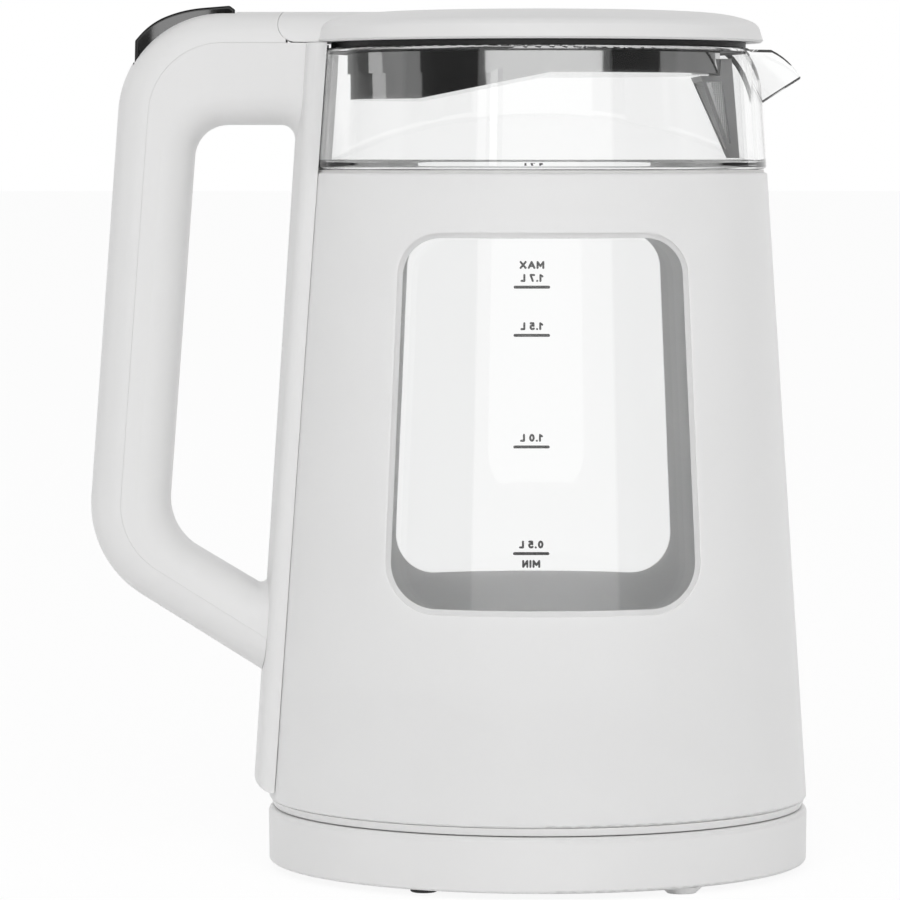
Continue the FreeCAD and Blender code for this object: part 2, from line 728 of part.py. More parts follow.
def plate_seal():
    top = JUG_FOOT_Z + SEAL_RISE
    wall = jug_r(top) - GLASS_WALL - 2 * SEAT
    return turned(plain([
        (seal_inner_r(), CARRIER_TOP_Z),
        (jug_r(JUG_FOOT_Z), CARRIER_TOP_Z),
        (jug_r(JUG_FOOT_Z), JUG_FOOT_Z),
        (wall, JUG_FOOT_Z),
        (wall, top),
        (seal_inner_r(), top),
    ]))


def heater_plate():
    rim = seal_inner_r() - SEAT
    return turned([
        (0, SPREADER_TOP_Z, 0),
        (rim - PLATE_THICK, SPREADER_TOP_Z, PLATE_ROUND / 2),
        (rim - PLATE_THICK, CARRIER_TOP_Z, 0),
        (rim, CARRIER_TOP_Z, 0),
        (rim, PLATE_Z, PLATE_ROUND),
        (0, PLATE_Z, 0),
    ])


def heat_spreader():
    return rod(spreader_r(), SPREADER_FOOT_Z, SPREADER_TOP_Z)


def heating_element():
    """Sheathed tube bent nearly full circle, with two cold legs."""
    height = SPREADER_FOOT_Z - ELEMENT_TUBE_R
    loop_r = spreader_r() - ELEMENT_INSET
    loop = Part.makeTorus(loop_r, ELEMENT_TUBE_R, Vector(0, 0, height), UP, 0, TURN, ELEMENT_SWEEP_ANGLE)
    loop.rotate(ORIGIN, UP, ELEMENT_START_ANGLE)
    pieces = [loop]
    for x, y in around(loop_r, (ELEMENT_START_ANGLE, ELEMENT_START_ANGLE + ELEMENT_SWEEP_ANGLE)):
        pieces.append(rod(ELEMENT_TUBE_R, height - ELEMENT_LEG, height, x, y))
        pieces.append(Part.makeSphere(ELEMENT_TUBE_R, Vector(x, y, height)))
    return fused(pieces)


def thermal_control():
    block = rod(CONTROL_R, SOCKET_TOP_Z, CONTROL_TOP_Z)
    for x in both_ways(DISC_X):
        block = block.cut(rod(DISC_R + 2 * SEAT, CONTROL_TOP_Z - DISC_SUNK, CONTROL_TOP_Z + PAST, x, 0))
    return block


def snap_discs():
    """Two bimetal discs that cut the power when the plate runs dry."""
    foot, top = CONTROL_TOP_Z - DISC_SUNK, SPREADER_FOOT_Z - SEAT
    return Part.makeCompound([rod(DISC_R, foot, top, x, 0) for x in both_ways(DISC_X)])


def connector_socket():
    inner = PLUG_TOWER_R + SOCKET_PLAY
    well = PIN_R + SOCKET_PLAY
    foot = COVER_FOOT_Z + 2 * SEAT
    flange_top = COVER_TOP_Z + SOCKET_FLANGE_THICK
    well_top = PIN_TOP_Z + SOCKET_ROOF_GAP
    body = turned([
        (inner, foot, 0),
        (SOCKET_R, foot, 2 * SEAT),
        (SOCKET_R, COVER_TOP_Z, 0),
        (SOCKET_R + SOCKET_FLANGE, COVER_TOP_Z, 0),
        (SOCKET_R + SOCKET_FLANGE, flange_top, 0),
        (SOCKET_R, flange_top, 0),
        (SOCKET_R, SOCKET_TOP_Z, 0),
        (0, SOCKET_TOP_Z, 0),
        (0, well_top, 0),
        (well, well_top, 0),
        (well, SOCKET_ROOF_Z, 0),
        (inner, SOCKET_ROOF_Z, 0),
    ])
    half = CONTACT_THICK / 2
    for radius in CONTACT_RADII:
        body = body.cut(ring(radius - half, radius + half, SOCKET_ROOF_Z - PAST, SOCKET_ROOF_Z + SLEEVE_SUNK))
    return body


def socket_contacts():
    """Two brass sleeves that reach into the plug's grooves."""
    half = CONTACT_THICK / 2
    foot, top = GROOVE_FOOT_Z + SLEEVE_RISE, SOCKET_ROOF_Z + SLEEVE_SUNK
    return Part.makeCompound([ring(r - half, r + half, foot, top) for r in CONTACT_RADII])


# Casing and glass
def window_outline(grow):
    slope = (WINDOW_FOOT_HALF - WINDOW_TOP_HALF) / WINDOW_TALL
    top, foot = WINDOW_TOP_Z + grow, WINDOW_FOOT_Z - grow
    top_half = WINDOW_TOP_HALF - slope * grow + grow
    foot_half = WINDOW_FOOT_HALF + slope * grow + grow
    return [
        (-foot_half, foot, WINDOW_FOOT_ROUND + grow),
        (foot_half, foot, WINDOW_FOOT_ROUND + grow),
        (top_half, top, WINDOW_TOP_ROUND + grow),
        (-top_half, top, WINDOW_TOP_ROUND + grow),
    ]


def window_bevel_tool():
    """Region outside a thinner cone, as wide as the window's bevelled edge."""
    wide = slab_y(window_outline(WINDOW_BEVEL), -WIDE, WIDE)
    return wide.cut(cone_core(-WINDOW_BEVEL_DEPTH, 0, CASING_TOP_Z + PAST))


def outer_casing():
    shell = turned([
        (CASING_FOOT_R - CASING_WALL, CASING_FOOT_Z, 0),
        (CASING_FOOT_R, CASING_FOOT_Z, CASING_FOOT_ROUND),
        (CASING_TOP_R, CASING_TOP_Z, CASING_TOP_ROUND),
        (CASING_TOP_R - CASING_WALL, CASING_TOP_Z, CASING_INNER_ROUND),
    ])
    shell = shell.cut(slab_y(window_outline(0.0), -WIDE, WIDE))
    shell = shell.cut(window_bevel_tool())
    rear = -CASING_FOOT_R - PAST
    shell = shell.cut(box((rear, -CASING_TOP_R / 2), both_ways(CHANNEL_HALF), WIRE_HOLE_Z))
    for y in both_ways(SPINE_SCREW_Y):
        start = Vector(rear, y, SPINE_SCREW_Z)
        shell = shell.cut(Part.makeCylinder(SCREW_HOLE_R, CASING_TOP_R / 2, start, ALONG_X))
    return shell


def spout_root():
    z = RIM_Z - SPOUT_ROOT_DROP
    return body_r(z) + SPOUT_ROOT_PROUD, z


def spout_wedge(drop, reach):
    """V-shaped trough rising along the pouring direction; drop lowers its keel."""
    root_x, root_z = spout_root()
    keel_x = root_x - SPOUT_BURIED
    keel_z = root_z - SPOUT_BURIED * SPOUT_SLOPE - drop
    half = SPOUT_CUT * math.tan(math.radians(SPOUT_HALF_ANGLE))
    points = [
        (0, keel_z, SPOUT_KEEL_ROUND + drop),
        (half, keel_z + SPOUT_CUT, 0),
        (-half, keel_z + SPOUT_CUT, 0),
    ]
    face = Part.Face(outline(points, in_yz(keel_x)))
    return face.extrude(Vector(reach, 0, reach * SPOUT_SLOPE))


def spout_side():
    """Everything under the spout's curved top edge, outside the jug's middle."""
    tip = (spout_root()[0] + SPOUT_REACH, RIM_Z - SPOUT_TIP_DROP)
    start = (CASING_TOP_R - SPOUT_ROOT_PROUD, RIM_Z - RIM_ROUND / 2)
    bulge = (start[0] + (tip[0] - start[0]) * 0.56, start[1] + (tip[1] - start[1]) * 0.42)
    inner_x = tip[0] - SPOUT_REACH - SPOUT_BURIED
    foot_z = RIM_Z - GLASS_RISE
    place = in_xz(-CASING_TOP_R)
    corners = [(inner_x, start[1]), (inner_x, foot_z), (tip[0], foot_z), tip]
    edges = [Part.makeLine(place(*a), place(*b)) for a, b in zip(corners, corners[1:])]
    edges.append(Part.Arc(place(*tip), place(*bulge), place(*start)).toShape())
    edges.append(Part.makeLine(place(*start), place(*corners[0])))
    return Part.Face(Part.Wire(edges)).extrude(Vector(0, 2 * CASING_TOP_R, 0))


def glass_jug():
    band_in = BAND_INSET + GLASS_WALL + SEAT
    step_top = SHOULDER_Z + SHOULDER_INNER_RISE
    step_foot = SHOULDER_Z - SHOULDER_INNER_DROP
    wall = turned([
        (jug_r(JUG_FOOT_Z) - GLASS_WALL, JUG_FOOT_Z, JUG_FOOT_ROUND),
        (jug_r(JUG_FOOT_Z), JUG_FOOT_Z, JUG_FOOT_ROUND),
        (jug_r(SHOULDER_Z), SHOULDER_Z, SHOULDER_ROUND),
        (body_r(SHOULDER_Z) - BAND_INSET, SHOULDER_Z + SEAT, RIM_ROUND),
        (body_r(RIM_Z) - BAND_INSET, RIM_Z, RIM_ROUND),
        (body_r(RIM_Z) - band_in, RIM_Z, RIM_ROUND),
        (body_r(step_top) - band_in, step_top, SHOULDER_INNER_ROUND),
        (jug_r(step_foot) - GLASS_WALL, step_foot, SHOULDER_INNER_ROUND),
    ])
    keel_drop = SPOUT_WALL / math.sin(math.radians(SPOUT_HALF_ANGLE))
    middle = cone_core(-band_in + JUG_FOOT_ROUND, CASING_TOP_Z - SPOUT_TIP_DROP, RIM_Z)
    lip = spout_wedge(0.0, SPOUT_CUT).common(spout_side()).cut(middle)
    trough = spout_wedge(-keel_drop, SPOUT_CUT)
    return fused([wall, lip]).cut(trough)


def shoulder_gasket():
    inner = CASING_TOP_R - CASING_WALL + 2 * SEAT
    outer = CASING_TOP_R - CASING_TOP_ROUND
    return ring(inner, outer, CASING_TOP_Z, CASING_TOP_Z + SHOULDER_GASKET)


# Handle
def shift_lines(corners, offsets):
    """Corner points after moving each side of a polygon to its left by its offset."""
    count = len(corners)
    sides = []
    for i in range(count):
        a, b = corners[i], corners[(i + 1) % count]
        d = unit(b[0] - a[0], b[1] - a[1])
        n = (-d[1], d[0])
        sides.append(((a[0] + n[0] * offsets[i], a[1] + n[1] * offsets[i]), d))
    moved = []
    for i in range(count):
        (px, pz), (dx, dz) = sides[i - 1]
        (qx, qz), (ex, ez) = sides[i]
        t = ((qx - px) * ez - (qz - pz) * ex) / (dx * ez - dz * ex)
        moved.append((px + dx * t, pz + dz * t))
    return moved


def handle_outline(inset):
    """Outer side outline, moved inwards by inset on its three free sides."""
    arm_z = GRIP_FOOT_Z + ARM_SLOPE * (HANDLE_END_X - GRIP_FOOT_X)
    corners = [
        (HANDLE_END_X, HANDLE_TOP_Z),
        (GRIP_TOP_X, HANDLE_TOP_Z),
        (GRIP_FOOT_X, GRIP_FOOT_Z),
        (HANDLE_END_X, arm_z),
    ]
    moved = shift_lines(corners, (inset, inset, inset, 0.0))
    rounds = (0.0, GRIP_TOP_ROUND - inset, GRIP_FOOT_ROUND - inset, 0.0)
    return [(x, z, r) for (x, z), r in zip(moved, rounds)]


def spine_face_x(z):
    return -(body_r(z) + SPINE_PROUD)


def gap_outline(grow):
    """Finger gap between the grip, the arms and the spine, grown on every side."""
    corners = [
        (GAP_TOP_X, GAP_TOP_Z),
        (GAP_FOOT_X, GAP_FOOT_Z),
        (spine_face_x(GAP_ARM_Z), GAP_ARM_Z),
        (spine_face_x(GAP_TOP_Z), GAP_TOP_Z),
    ]
    moved = shift_lines(corners, (-grow,) * len(corners))
    rounds = (GAP_TOP_ROUND, GAP_FOOT_ROUND, GAP_ARM_ROUND, GAP_SPINE_ROUND)
    return [(x, z, r + grow) for (x, z), r in zip(moved, rounds)]


def handle_form(inset, rounding):
    """The whole rounded handle loop, smaller by inset on every face."""
    half = HANDLE_HALF - inset
    loop = slab_y(handle_outline(inset), -half, half)
    loop = loop.cut(slab_y(gap_outline(inset), -half - PAST, half + PAST))
    rims = []
    for edge in loop.Edges:
        span = edge.BoundBox
        on_side = span.YLength < 1e-6 and abs(abs(span.YMin) - half) < 1e-6
        at_end = span.XMin > HANDLE_END_X - 1e-6
        if on_side and not at_end:
            rims.append(edge)
    return loop.makeFillet(rounding, rims)


def lid_zone(clearance):
    """Space of the lid's tongue: a round heel about the hinge and all in front of it."""
    heel = rod_y(HINGE_RISE + clearance, WIDE, HINGE_X, HINGE_Z)
    front = box((HINGE_X, 0), both_ways(WIDE), (LID_FOOT_Z - clearance, LID_TOP_Z + LID_TALL))
    return heel.fuse(front)


def inner_side_of_parting(inset):
    return slab_y(handle_outline(inset), -2 * HANDLE_HALF, 2 * HANDLE_HALF)


def spine_strip():
    strip = cone_shell(SEAT, SPINE_PROUD, SPINE_FOOT_Z, SPINE_TOP_Z)
    flank = slab_x(plain([
        (-SPINE_FOOT_HALF, SPINE_FOOT_Z),
        (SPINE_FOOT_HALF, SPINE_FOOT_Z),
        (SPINE_TOP_HALF, SPINE_TOP_Z),
        (-SPINE_TOP_HALF, SPINE_TOP_Z),
    ]), -WIDE, -CASING_TOP_R / 2)
    strip = strip.common(flank)
    rims = []
    for edge in strip.Edges:
        middle = edge.valueAt((edge.FirstParameter + edge.LastParameter) / 2)
        proud = math.hypot(middle.x, middle.y) - body_r(middle.z)
        span = edge.BoundBox
        upright = span.ZLength > CASING_TALL / 2
        at_foot = span.ZMax < SPINE_FOOT_Z + SPINE_ROUND / 4
        if proud > SPINE_PROUD - 2 * SEAT and (upright or at_foot):
            rims.append(edge)
    return strip.makeFillet(SPINE_ROUND, rims)


def handle_cavity():
    hollow = handle_form(HANDLE_WALL, HANDLE_ROUND - HANDLE_WALL)
    return hollow.cut(box((CAVITY_END_X, 0), both_ways(WIDE), (0, 2 * HANDLE_TOP_Z)))


def from_grip_corner(points, grow=0.0, drop=0.0):
    """Points given inwards and upwards from the grip's upper corner, as (x, z, corner)."""
    return [(GRIP_TOP_X + u + grow, HANDLE_TOP_Z + v - drop, r) for u, v, r in points]


def rocker_side(grow, drop):
    """Side outline of the rocker cap, from its crown down into the handle."""
    crown = from_grip_corner(ROCKER_CROWN, 0.0, -grow)
    sill = from_grip_corner(ROCKER_SILL, 0.0, drop)
    side = crown + sill
    front, back = (0, len(side) - 1), (len(crown) - 1, len(crown))
    spread = []
    for i, (x, z, r) in enumerate(side):
        if i in front:
            x -= grow
        elif i in back:
            x += grow
        spread.append((x, z, r))
    return spread


def rocker_window():
    half = ROCKER_HALF + MOVE
    return slab_y(rocker_side(ROCKER_PLAY, ROCKER_SINK), -half, half)


def handle_body(form, cavity):
    """Inner shell of the handle in one piece with the spine strip."""
    shell = form.cut(cavity).common(inner_side_of_parting(PARTING_DEPTH + PARTING_GAP))
    shell = shell.cut(cone_core(SEAT, 0, 2 * HANDLE_TOP_Z - CASING_TOP_Z))
    body = fused([shell, spine_strip()])
    pocket_x = (BRACKET_X[0] - SEAT, BRACKET_X[1] + SEAT)
    pocket = box(pocket_x, both_ways(KNUCKLE_HALF + SEAT), (BRACKET_FOOT_Z, SPINE_TOP_Z + PAST))
    channel = cone_shell(0.0, CHANNEL_DEPTH, *CHANNEL_Z)
    channel = channel.common(box((-WIDE, 0), both_ways(CHANNEL_HALF), CHANNEL_Z))
    doorway_x = (CAVITY_END_X - CAVITY_STOP, -body_r(DOORWAY_Z[0]) - PAST)
    doorway = box(doorway_x, both_ways(CHANNEL_HALF), DOORWAY_Z)
    body = body.cut(pocket).cut(channel).cut(doorway)
    for y in both_ways(SPINE_SCREW_Y):
        start = Vector(SPINE_SCREW_SKIN + spine_face_x(SPINE_SCREW_Z), y, SPINE_SCREW_Z)
        body = body.cut(Part.makeCylinder(SCREW_SHANK_R, 4 * SPINE_PROUD, start, ALONG_X))
    return body


def handle_cover(form, cavity):
    """Outer shell of the handle, from the lid's heel round to the spine."""
    shell = form.cut(cavity).cut(inner_side_of_parting(PARTING_DEPTH))
    shell = shell.cut(lid_zone(LID_SEAM))
    shell = shell.cut(cone_core(SPINE_PROUD + SEAT, 0, SPINE_TOP_Z - PAST))
    under_lid = box((HINGE_X - COVER_STOP, 0), both_ways(WIDE), (GAP_TOP_Z, 2 * HANDLE_TOP_Z))
    return shell.cut(under_lid).cut(rocker_window())


def spine_screws():
    """Short screws from inside the casing into the spine strip."""
    screws = []
    inside = CASING_WALL + SPINE_HEAD_STAND - body_r(SPINE_SCREW_Z)
    for y in both_ways(SPINE_SCREW_Y):
        start = Vector(inside, y, SPINE_SCREW_Z)
        head = Part.makeCylinder(SCREW_HEAD_R, SCREW_HEAD_TALL, start, ALONG_X)
        shank = Part.makeCylinder(SCREW_SHANK_R - RUN, SPINE_SCREW_LONG, start, -ALONG_X)
        screws.append(head.fuse(shank).removeSplitter())
    return Part.makeCompound(screws)


# Hinge and lid
def hinge_bracket():
    wide = both_ways(KNUCKLE_HALF)
    block = box(BRACKET_X, wide, (BRACKET_FOOT_Z, SPINE_TOP_Z))
    web = box((HINGE_X - WEB_HALF, HINGE_X + WEB_HALF), wide, (SPINE_TOP_Z - PAST, HINGE_Z))
    knuckle = rod_y(KNUCKLE_R, KNUCKLE_HALF, HINGE_X, HINGE_Z)
    bracket = fused([block, web, knuckle])
    return bracket.cut(rod_y(HINGE_PIN_R + RUN, WIDE, HINGE_X, HINGE_Z))


def hinge_pin():
    return rod_y(HINGE_PIN_R, HINGE_PIN_HALF, HINGE_X, HINGE_Z)


def lid_dome():
    """Lid disc: steep rounded edge, then a gently domed top."""
    place = in_xz()
    crown = [(LID_R - inset, LID_TOP_Z - drop) for inset, drop in LID_CROWN] + [(0.0, LID_TOP_Z)]
    curve = Part.BSplineCurve()
    curve.interpolate([place(*p) for p in crown])
    corners = [
        (0.0, LID_TOP_Z),
        (0.0, LID_FOOT_Z),
        (LID_R - LID_EDGE, LID_FOOT_Z),
        (LID_R, LID_FOOT_Z + LID_EDGE),
        crown[0],
    ]
    edges = [Part.makeLine(place(*a), place(*b)) for a, b in zip(corners, corners[1:])]
    edges.append(curve.toShape())
    return Part.Face(Part.Wire(edges)).revolve(ORIGIN, UP, TURN)


def lid_cover(form):
    cover = fused([lid_dome(), form.common(lid_zone(0.0))])
    mouth = TRAY_R + SEAT
    slope = [(LID_R - inset, LID_TOP_Z - drop, r) for inset, drop, r in LID_HOLLOW]
    hollow = turned([
        (0, LID_FOOT_Z - PAST, 0),
        (mouth, LID_FOOT_Z - PAST, 0),
        (mouth, LID_TOP_Z - LID_HOLLOW_EDGE, RIM_ROUND),
    ] + slope + [(0, LID_TOP_Z - LID_SKIN, 0)])
    half = KNUCKLE_HALF + KNUCKLE_PLAY
    behind = HINGE_X - HINGE_RISE - 2 * PAST
    web_play = WEB_HALF + KNUCKLE_PLAY
    swing = box((behind, HINGE_X + web_play), both_ways(half), (LID_FOOT_Z - PAST, HINGE_Z + web_play))
    barrel = rod_y(KNUCKLE_R + KNUCKLE_PLAY, half, HINGE_X, HINGE_Z)
    bore = rod_y(HINGE_PIN_R + RUN, HINGE_PIN_HALF + 2 * SEAT, HINGE_X, HINGE_Z)
    cover = cover.cut(hollow).cut(swing).cut(barrel).cut(bore)
    posts = []
    for x, y in around(LID_SCREW_R, LID_SCREW_ANGLES):
        post = rod(LID_POST_R, LID_FOOT_Z, LID_TOP_Z - LID_POST_DROP, x, y)
        posts.append(post.cut(rod(SCREW_PILOT_R, LID_FOOT_Z - PAST, LID_TOP_Z - LID_PILOT_DROP, x, y)))
    return fused([cover] + posts)


def lid_tray():
    """Dark plate under the lid, carrying the seal and the steel cup."""
    step_z = TRAY_FOOT_Z + TRAY_STEP_TALL
    tray = turned([
        (0, TRAY_FOOT_Z, 0),
        (TRAY_R - TRAY_STEP, TRAY_FOOT_Z, 4 * SEAT),
        (TRAY_R - TRAY_STEP, step_z, 0),
        (TRAY_R, step_z, 2 * SEAT),
        (TRAY_R, LID_FOOT_Z, 2 * SEAT),
        (0, LID_FOOT_Z, 0),
    ])
    for x, y in around(LID_SCREW_R, LID_SCREW_ANGLES):
        tray = tray.cut(rod(SCREW_HOLE_R, TRAY_FOOT_Z - PAST, LID_FOOT_Z + PAST, x, y))
        tray = tray.cut(rod(SCREW_SINK_R, TRAY_FOOT_Z - PAST, step_z + SEAT, x, y))
    return tray


def lid_screws():
    head_z = TRAY_FOOT_Z + TRAY_STEP_TALL + RUN - SCREW_HEAD_TALL
    return pan_screws(around(LID_SCREW_R, LID_SCREW_ANGLES), head_z, LID_SCREW_LONG)


def lid_seal():
    """Soft lip round the tray that closes the jug's mouth."""
    inner = TRAY_R - TRAY_STEP + SEAT
    top = TRAY_FOOT_Z + TRAY_STEP_TALL - RUN
    return turned([
        (inner, TRAY_FOOT_Z + RUN, 0),
        (TRAY_R + SEAL_LIP - 2 * SEAT, TRAY_FOOT_Z - SEAL_LIP, 3 * SEAT),
        (TRAY_R + SEAL_LIP, TRAY_FOOT_Z - SEAT, 2 * SEAT),
        (TRAY_R - 2 * SEAT, top, 0),
        (inner, top, 0),
    ])


def cup_form(inset):
    """Round cup with a flat front and a deeper sump at its rear."""
    top = TRAY_FOOT_Z - RUN
    bowl = rod(CUP_R - inset, CUP_FOOT_Z + inset, top + inset)
    floor, sump_floor = CUP_FOOT_Z + inset, CUP_SUMP_Z + inset
    joint = CUP_FOOT_Z + 2 * PAST
    ramp_x = CUP_SUMP_LONG - CUP_R
    side = [
        (-CUP_R - PAST, joint, 0),
        (-CUP_R - PAST, sump_floor, 0),
        (ramp_x, sump_floor, CUP_SUMP_ROUND),
        (ramp_x + CUP_SUMP_RAMP, floor, 0),
        (ramp_x + CUP_SUMP_RAMP, joint, 0),
    ]
    sump = slab_y(side, -CUP_R, CUP_R).common(rod(CUP_R - CUP_STEP - inset, CUP_SUMP_Z - PAST, top))
    front = box((CUP_FRONT_X - inset, 2 * CUP_R), both_ways(CUP_R), (CUP_SUMP_Z - PAST, top + PAST))
    return fused([bowl, sump]).cut(front)


def lid_cup():
    return cup_form(0.0).cut(cup_form(CUP_WALL))


# Spout filter
def filter_side():
    """Wedge seen from the side: hook at the cup's front, mesh panel below."""
    hook_z = FILTER_TOP_Z - FILTER_HOOK_TALL
    return [
        (FILTER_BACK_X, hook_z),
        (FILTER_BACK_X - FILTER_BEHIND, hook_z),
        (FILTER_BACK_X + FILTER_TOE[0], FILTER_FOOT_Z),
        (FILTER_BACK_X + FILTER_TOE[1], FILTER_FOOT_Z),
        (FILTER_BACK_X + FILTER_FRONT, FILTER_TOP_Z),
        (FILTER_BACK_X, FILTER_TOP_Z),
    ]


def filter_front(inset):
    """Wedge seen from the spout, drawn out along the pouring direction."""
    top, foot = FILTER_TOP_Z - inset, FILTER_FOOT_Z + inset
    return slab_x(plain([
        (-FILTER_FOOT_HALF + inset, foot),
        (FILTER_FOOT_HALF - inset, foot),
        (FILTER_TOP_HALF - inset, top),
        (-FILTER_TOP_HALF + inset, top),
    ]), 0, WIDE)


def filter_panel():
    """Side opening below the hook, inside the frame's bars."""
    top, foot = FILTER_TOP_Z - FILTER_HOOK, FILTER_FOOT_Z + PANEL_RISE
    return slab_y(plain([
        (FILTER_BACK_X + PANEL_TOP[0], top),
        (FILTER_BACK_X + PANEL_TOE[0], foot),
        (FILTER_BACK_X + PANEL_TOE[1], foot),
        (FILTER_BACK_X + PANEL_TOP[1], top),
    ]), -WIDE, WIDE)


def filter_frame():
    solid = slab_y(plain(filter_side()), -WIDE, WIDE).common(filter_front(0.0))
    below_hook = box((0, WIDE), both_ways(WIDE), (FILTER_FOOT_Z - PAST, FILTER_TOP_Z - FILTER_HOOK))
    core = filter_front(FILTER_BAR + FILTER_CORE).common(below_hook)
    return solid.cut(filter_panel()).cut(core)


def filter_mesh():
    """Woven sheet on the two slanted sides and the jug side of the frame."""
    layer = FILTER_BAR / 2
    sides = filter_panel().common(filter_front(layer)).cut(filter_front(layer + MESH_THICK))
    (x0, z0), (x1, z1) = filter_side()[1:3]
    lean = (x1 - x0) / (z1 - z0)
    top, foot = FILTER_TOP_Z - FILTER_HOOK, FILTER_FOOT_Z + FILTER_BAR + FILTER_CORE
    back_top, back_foot = (x0 + lean * (z - z0) + MESH_SUNK for z in (top, foot))
    back = slab_y(plain([
        (back_top, top),
        (back_foot, foot),
        (back_foot + MESH_THICK, foot),
        (back_top + MESH_THICK, top),
    ]), -WIDE, WIDE)
    back = back.common(filter_front(FILTER_BAR + FILTER_CORE))
    return Part.makeCompound(sides.Solids + back.Solids)


# Steam switch and rocker in the handle
def steam_switch():
    pivot_x, pivot_z = ROCKER_PIVOT
    foot_x = (SWITCH_X[1] - SWITCH_FOOT_LONG, SWITCH_X[1])
    pieces = [
        box(SWITCH_X, both_ways(SWITCH_HALF), SWITCH_Z),
        box(foot_x, both_ways(SWITCH_FOOT_HALF), (SWITCH_FLOOR_Z, SWITCH_Z[0])),
    ]
    for low in (-EAR_IN - EAR_THICK, EAR_IN):
        ear_x = (pivot_x - EAR_R, pivot_x + EAR_R)
        pieces.append(box(ear_x, (low, low + EAR_THICK), (SWITCH_Z[1], pivot_z)))
        pieces.append(Part.makeCylinder(EAR_R, EAR_THICK, Vector(pivot_x, low, pivot_z), ALONG_Y))
    return fused(pieces).cut(rod_y(ROCKER_PIN_R + RUN, HANDLE_HALF, pivot_x, pivot_z))


def steam_disc():
    """Bimetal disc facing the steam that comes back from the lid."""
    middle = (SWITCH_Z[0] + SWITCH_Z[1]) / 2
    return Part.makeCylinder(STEAM_DISC_R, STEAM_DISC_THICK, Vector(SWITCH_X[1], 0, middle), ALONG_X)


def rocker_pin():
    return rod_y(ROCKER_PIN_R, EAR_IN + EAR_THICK, *ROCKER_PIVOT)


def rocker_cap():
    cap = slab_y(rocker_side(0.0, 0.0), -ROCKER_HALF, ROCKER_HALF)
    crown_foot = HANDLE_TOP_Z + ROCKER_CROWN[0][1] - ROCKER_ROUND
    rims = []
    for edge in cap.Edges:
        span = edge.BoundBox
        if span.YLength < 1e-6 and span.ZMin > crown_foot and span.XLength > SEAT / 2:
            rims.append(edge)
    cap = cap.makeFillet(ROCKER_ROUND, rims)
    roof = from_grip_corner(ROCKER_HOLLOW)
    foot_z = HANDLE_TOP_Z - ROCKER_HOLLOW_FOOT
    hollow = slab_y(
        [(roof[0][0], foot_z, 0)] + roof + [(roof[-1][0], foot_z, 0)],
        ROCKER_WALL - ROCKER_HALF,
        ROCKER_HALF - ROCKER_WALL,
    )
    pivot_x, pivot_z = ROCKER_PIVOT
    half = EAR_IN - MOVE
    boss_x = (pivot_x - ROCKER_BOSS_R, pivot_x + ROCKER_BOSS_R)
    stem = box(boss_x, both_ways(half), (pivot_z, roof[2][1] + ROCKER_WALL / 2))
    cap = fused([cap.cut(hollow), rod_y(ROCKER_BOSS_R, half, pivot_x, pivot_z), stem])
    return cap.cut(rod_y(ROCKER_PIN_R + RUN, HANDLE_HALF, pivot_x, pivot_z))


def handle_wires():
    """Two wires from the steam switch down the grip and into the heater space."""
    inner = HANDLE_WALL + HANDLE_ROUND
    door_z = (DOORWAY_Z[0] + DOORWAY_Z[1]) / 2
    hole_z = (WIRE_HOLE_Z[0] + WIRE_HOLE_Z[1]) / 2
    run_r = CHANNEL_DEPTH / 2
    path = [
        (GRIP_TOP_X + SWITCH_IN[0] - EAR_R, SWITCH_Z[0] + EAR_R, 0),
        (GRIP_TOP_X + HANDLE_ROUND, GAP_TOP_Z, WIRE_BEND),
        (GRIP_FOOT_X + inner + EAR_R, GAP_FOOT_Z + GAP_TOP_ROUND, GAP_TOP_ROUND),
        (GRIP_FOOT_X + 2 * inner, GRIP_FOOT_Z - HANDLE_WALL, WIRE_BEND),
        (-body_r(door_z) - CAVITY_STOP, door_z + EAR_R, SPINE_ROUND),
        (-body_r(door_z) - run_r, door_z - HANDLE_WALL, SWITCH_FOOT_LONG),
        (-body_r(hole_z) - run_r, hole_z, HANDLE_WALL),
        (-CONTROL_R - SWITCH_FOOT_LONG, hole_z, 0),
    ]
    return Part.makeCompound([tube(path, WIRE_R, y) for y in both_ways(WIRE_Y)])


def main():
    os.makedirs("parts", exist_ok=True)
    form = handle_form(0.0, HANDLE_ROUND)
    cavity = handle_cavity()
    nodes = {
        "base_shell": base_shell(),
        "base_bottom_plate": base_bottom_plate(),
        "base_feet": base_feet(),
        "base_screws": base_screws(),
        "cord_outlet": cord_outlet(),
        "connector_plug": connector_plug(),
        "plug_contacts": plug_contacts(),
        "centre_pin": centre_pin(),
        "pin_spring": pin_spring(),
        "base_wires": base_wires(),
        "bottom_cover": bottom_cover(),
        "cover_screws": cover_screws(),
        "jug_carrier": jug_carrier(),
        "plate_seal": plate_seal(),
        "heater_plate": heater_plate(),
        "heat_spreader": heat_spreader(),
        "heating_element": heating_element(),
        "thermal_control": thermal_control(),
        "snap_discs": snap_discs(),
        "connector_socket": connector_socket(),
        "socket_contacts": socket_contacts(),
        "outer_casing": outer_casing(),
        "glass_jug": glass_jug(),
        "shoulder_gasket": shoulder_gasket(),
        "handle_body": handle_body(form, cavity),
        "handle_cover": handle_cover(form, cavity),
        "spine_screws": spine_screws(),
        "hinge_bracket": hinge_bracket(),
        "hinge_pin": hinge_pin(),
        "lid_cover": lid_cover(form),
        "lid_tray": lid_tray(),
        "lid_screws": lid_screws(),
        "lid_seal": lid_seal(),
        "lid_cup": lid_cup(),
        "filter_frame": filter_frame(),
        "filter_mesh": filter_mesh(),
        "steam_switch": steam_switch(),
        "steam_disc": steam_disc(),
        "rocker_pin": rocker_pin(),
        "rocker_cap": rocker_cap(),
        "handle_wires": handle_wires(),
    }
    for name, shape in nodes.items():
        shape.exportStep("parts/" + name + ".step")
        print(name, len(shape.Solids), shape.isValid(), round(shape.Volume))


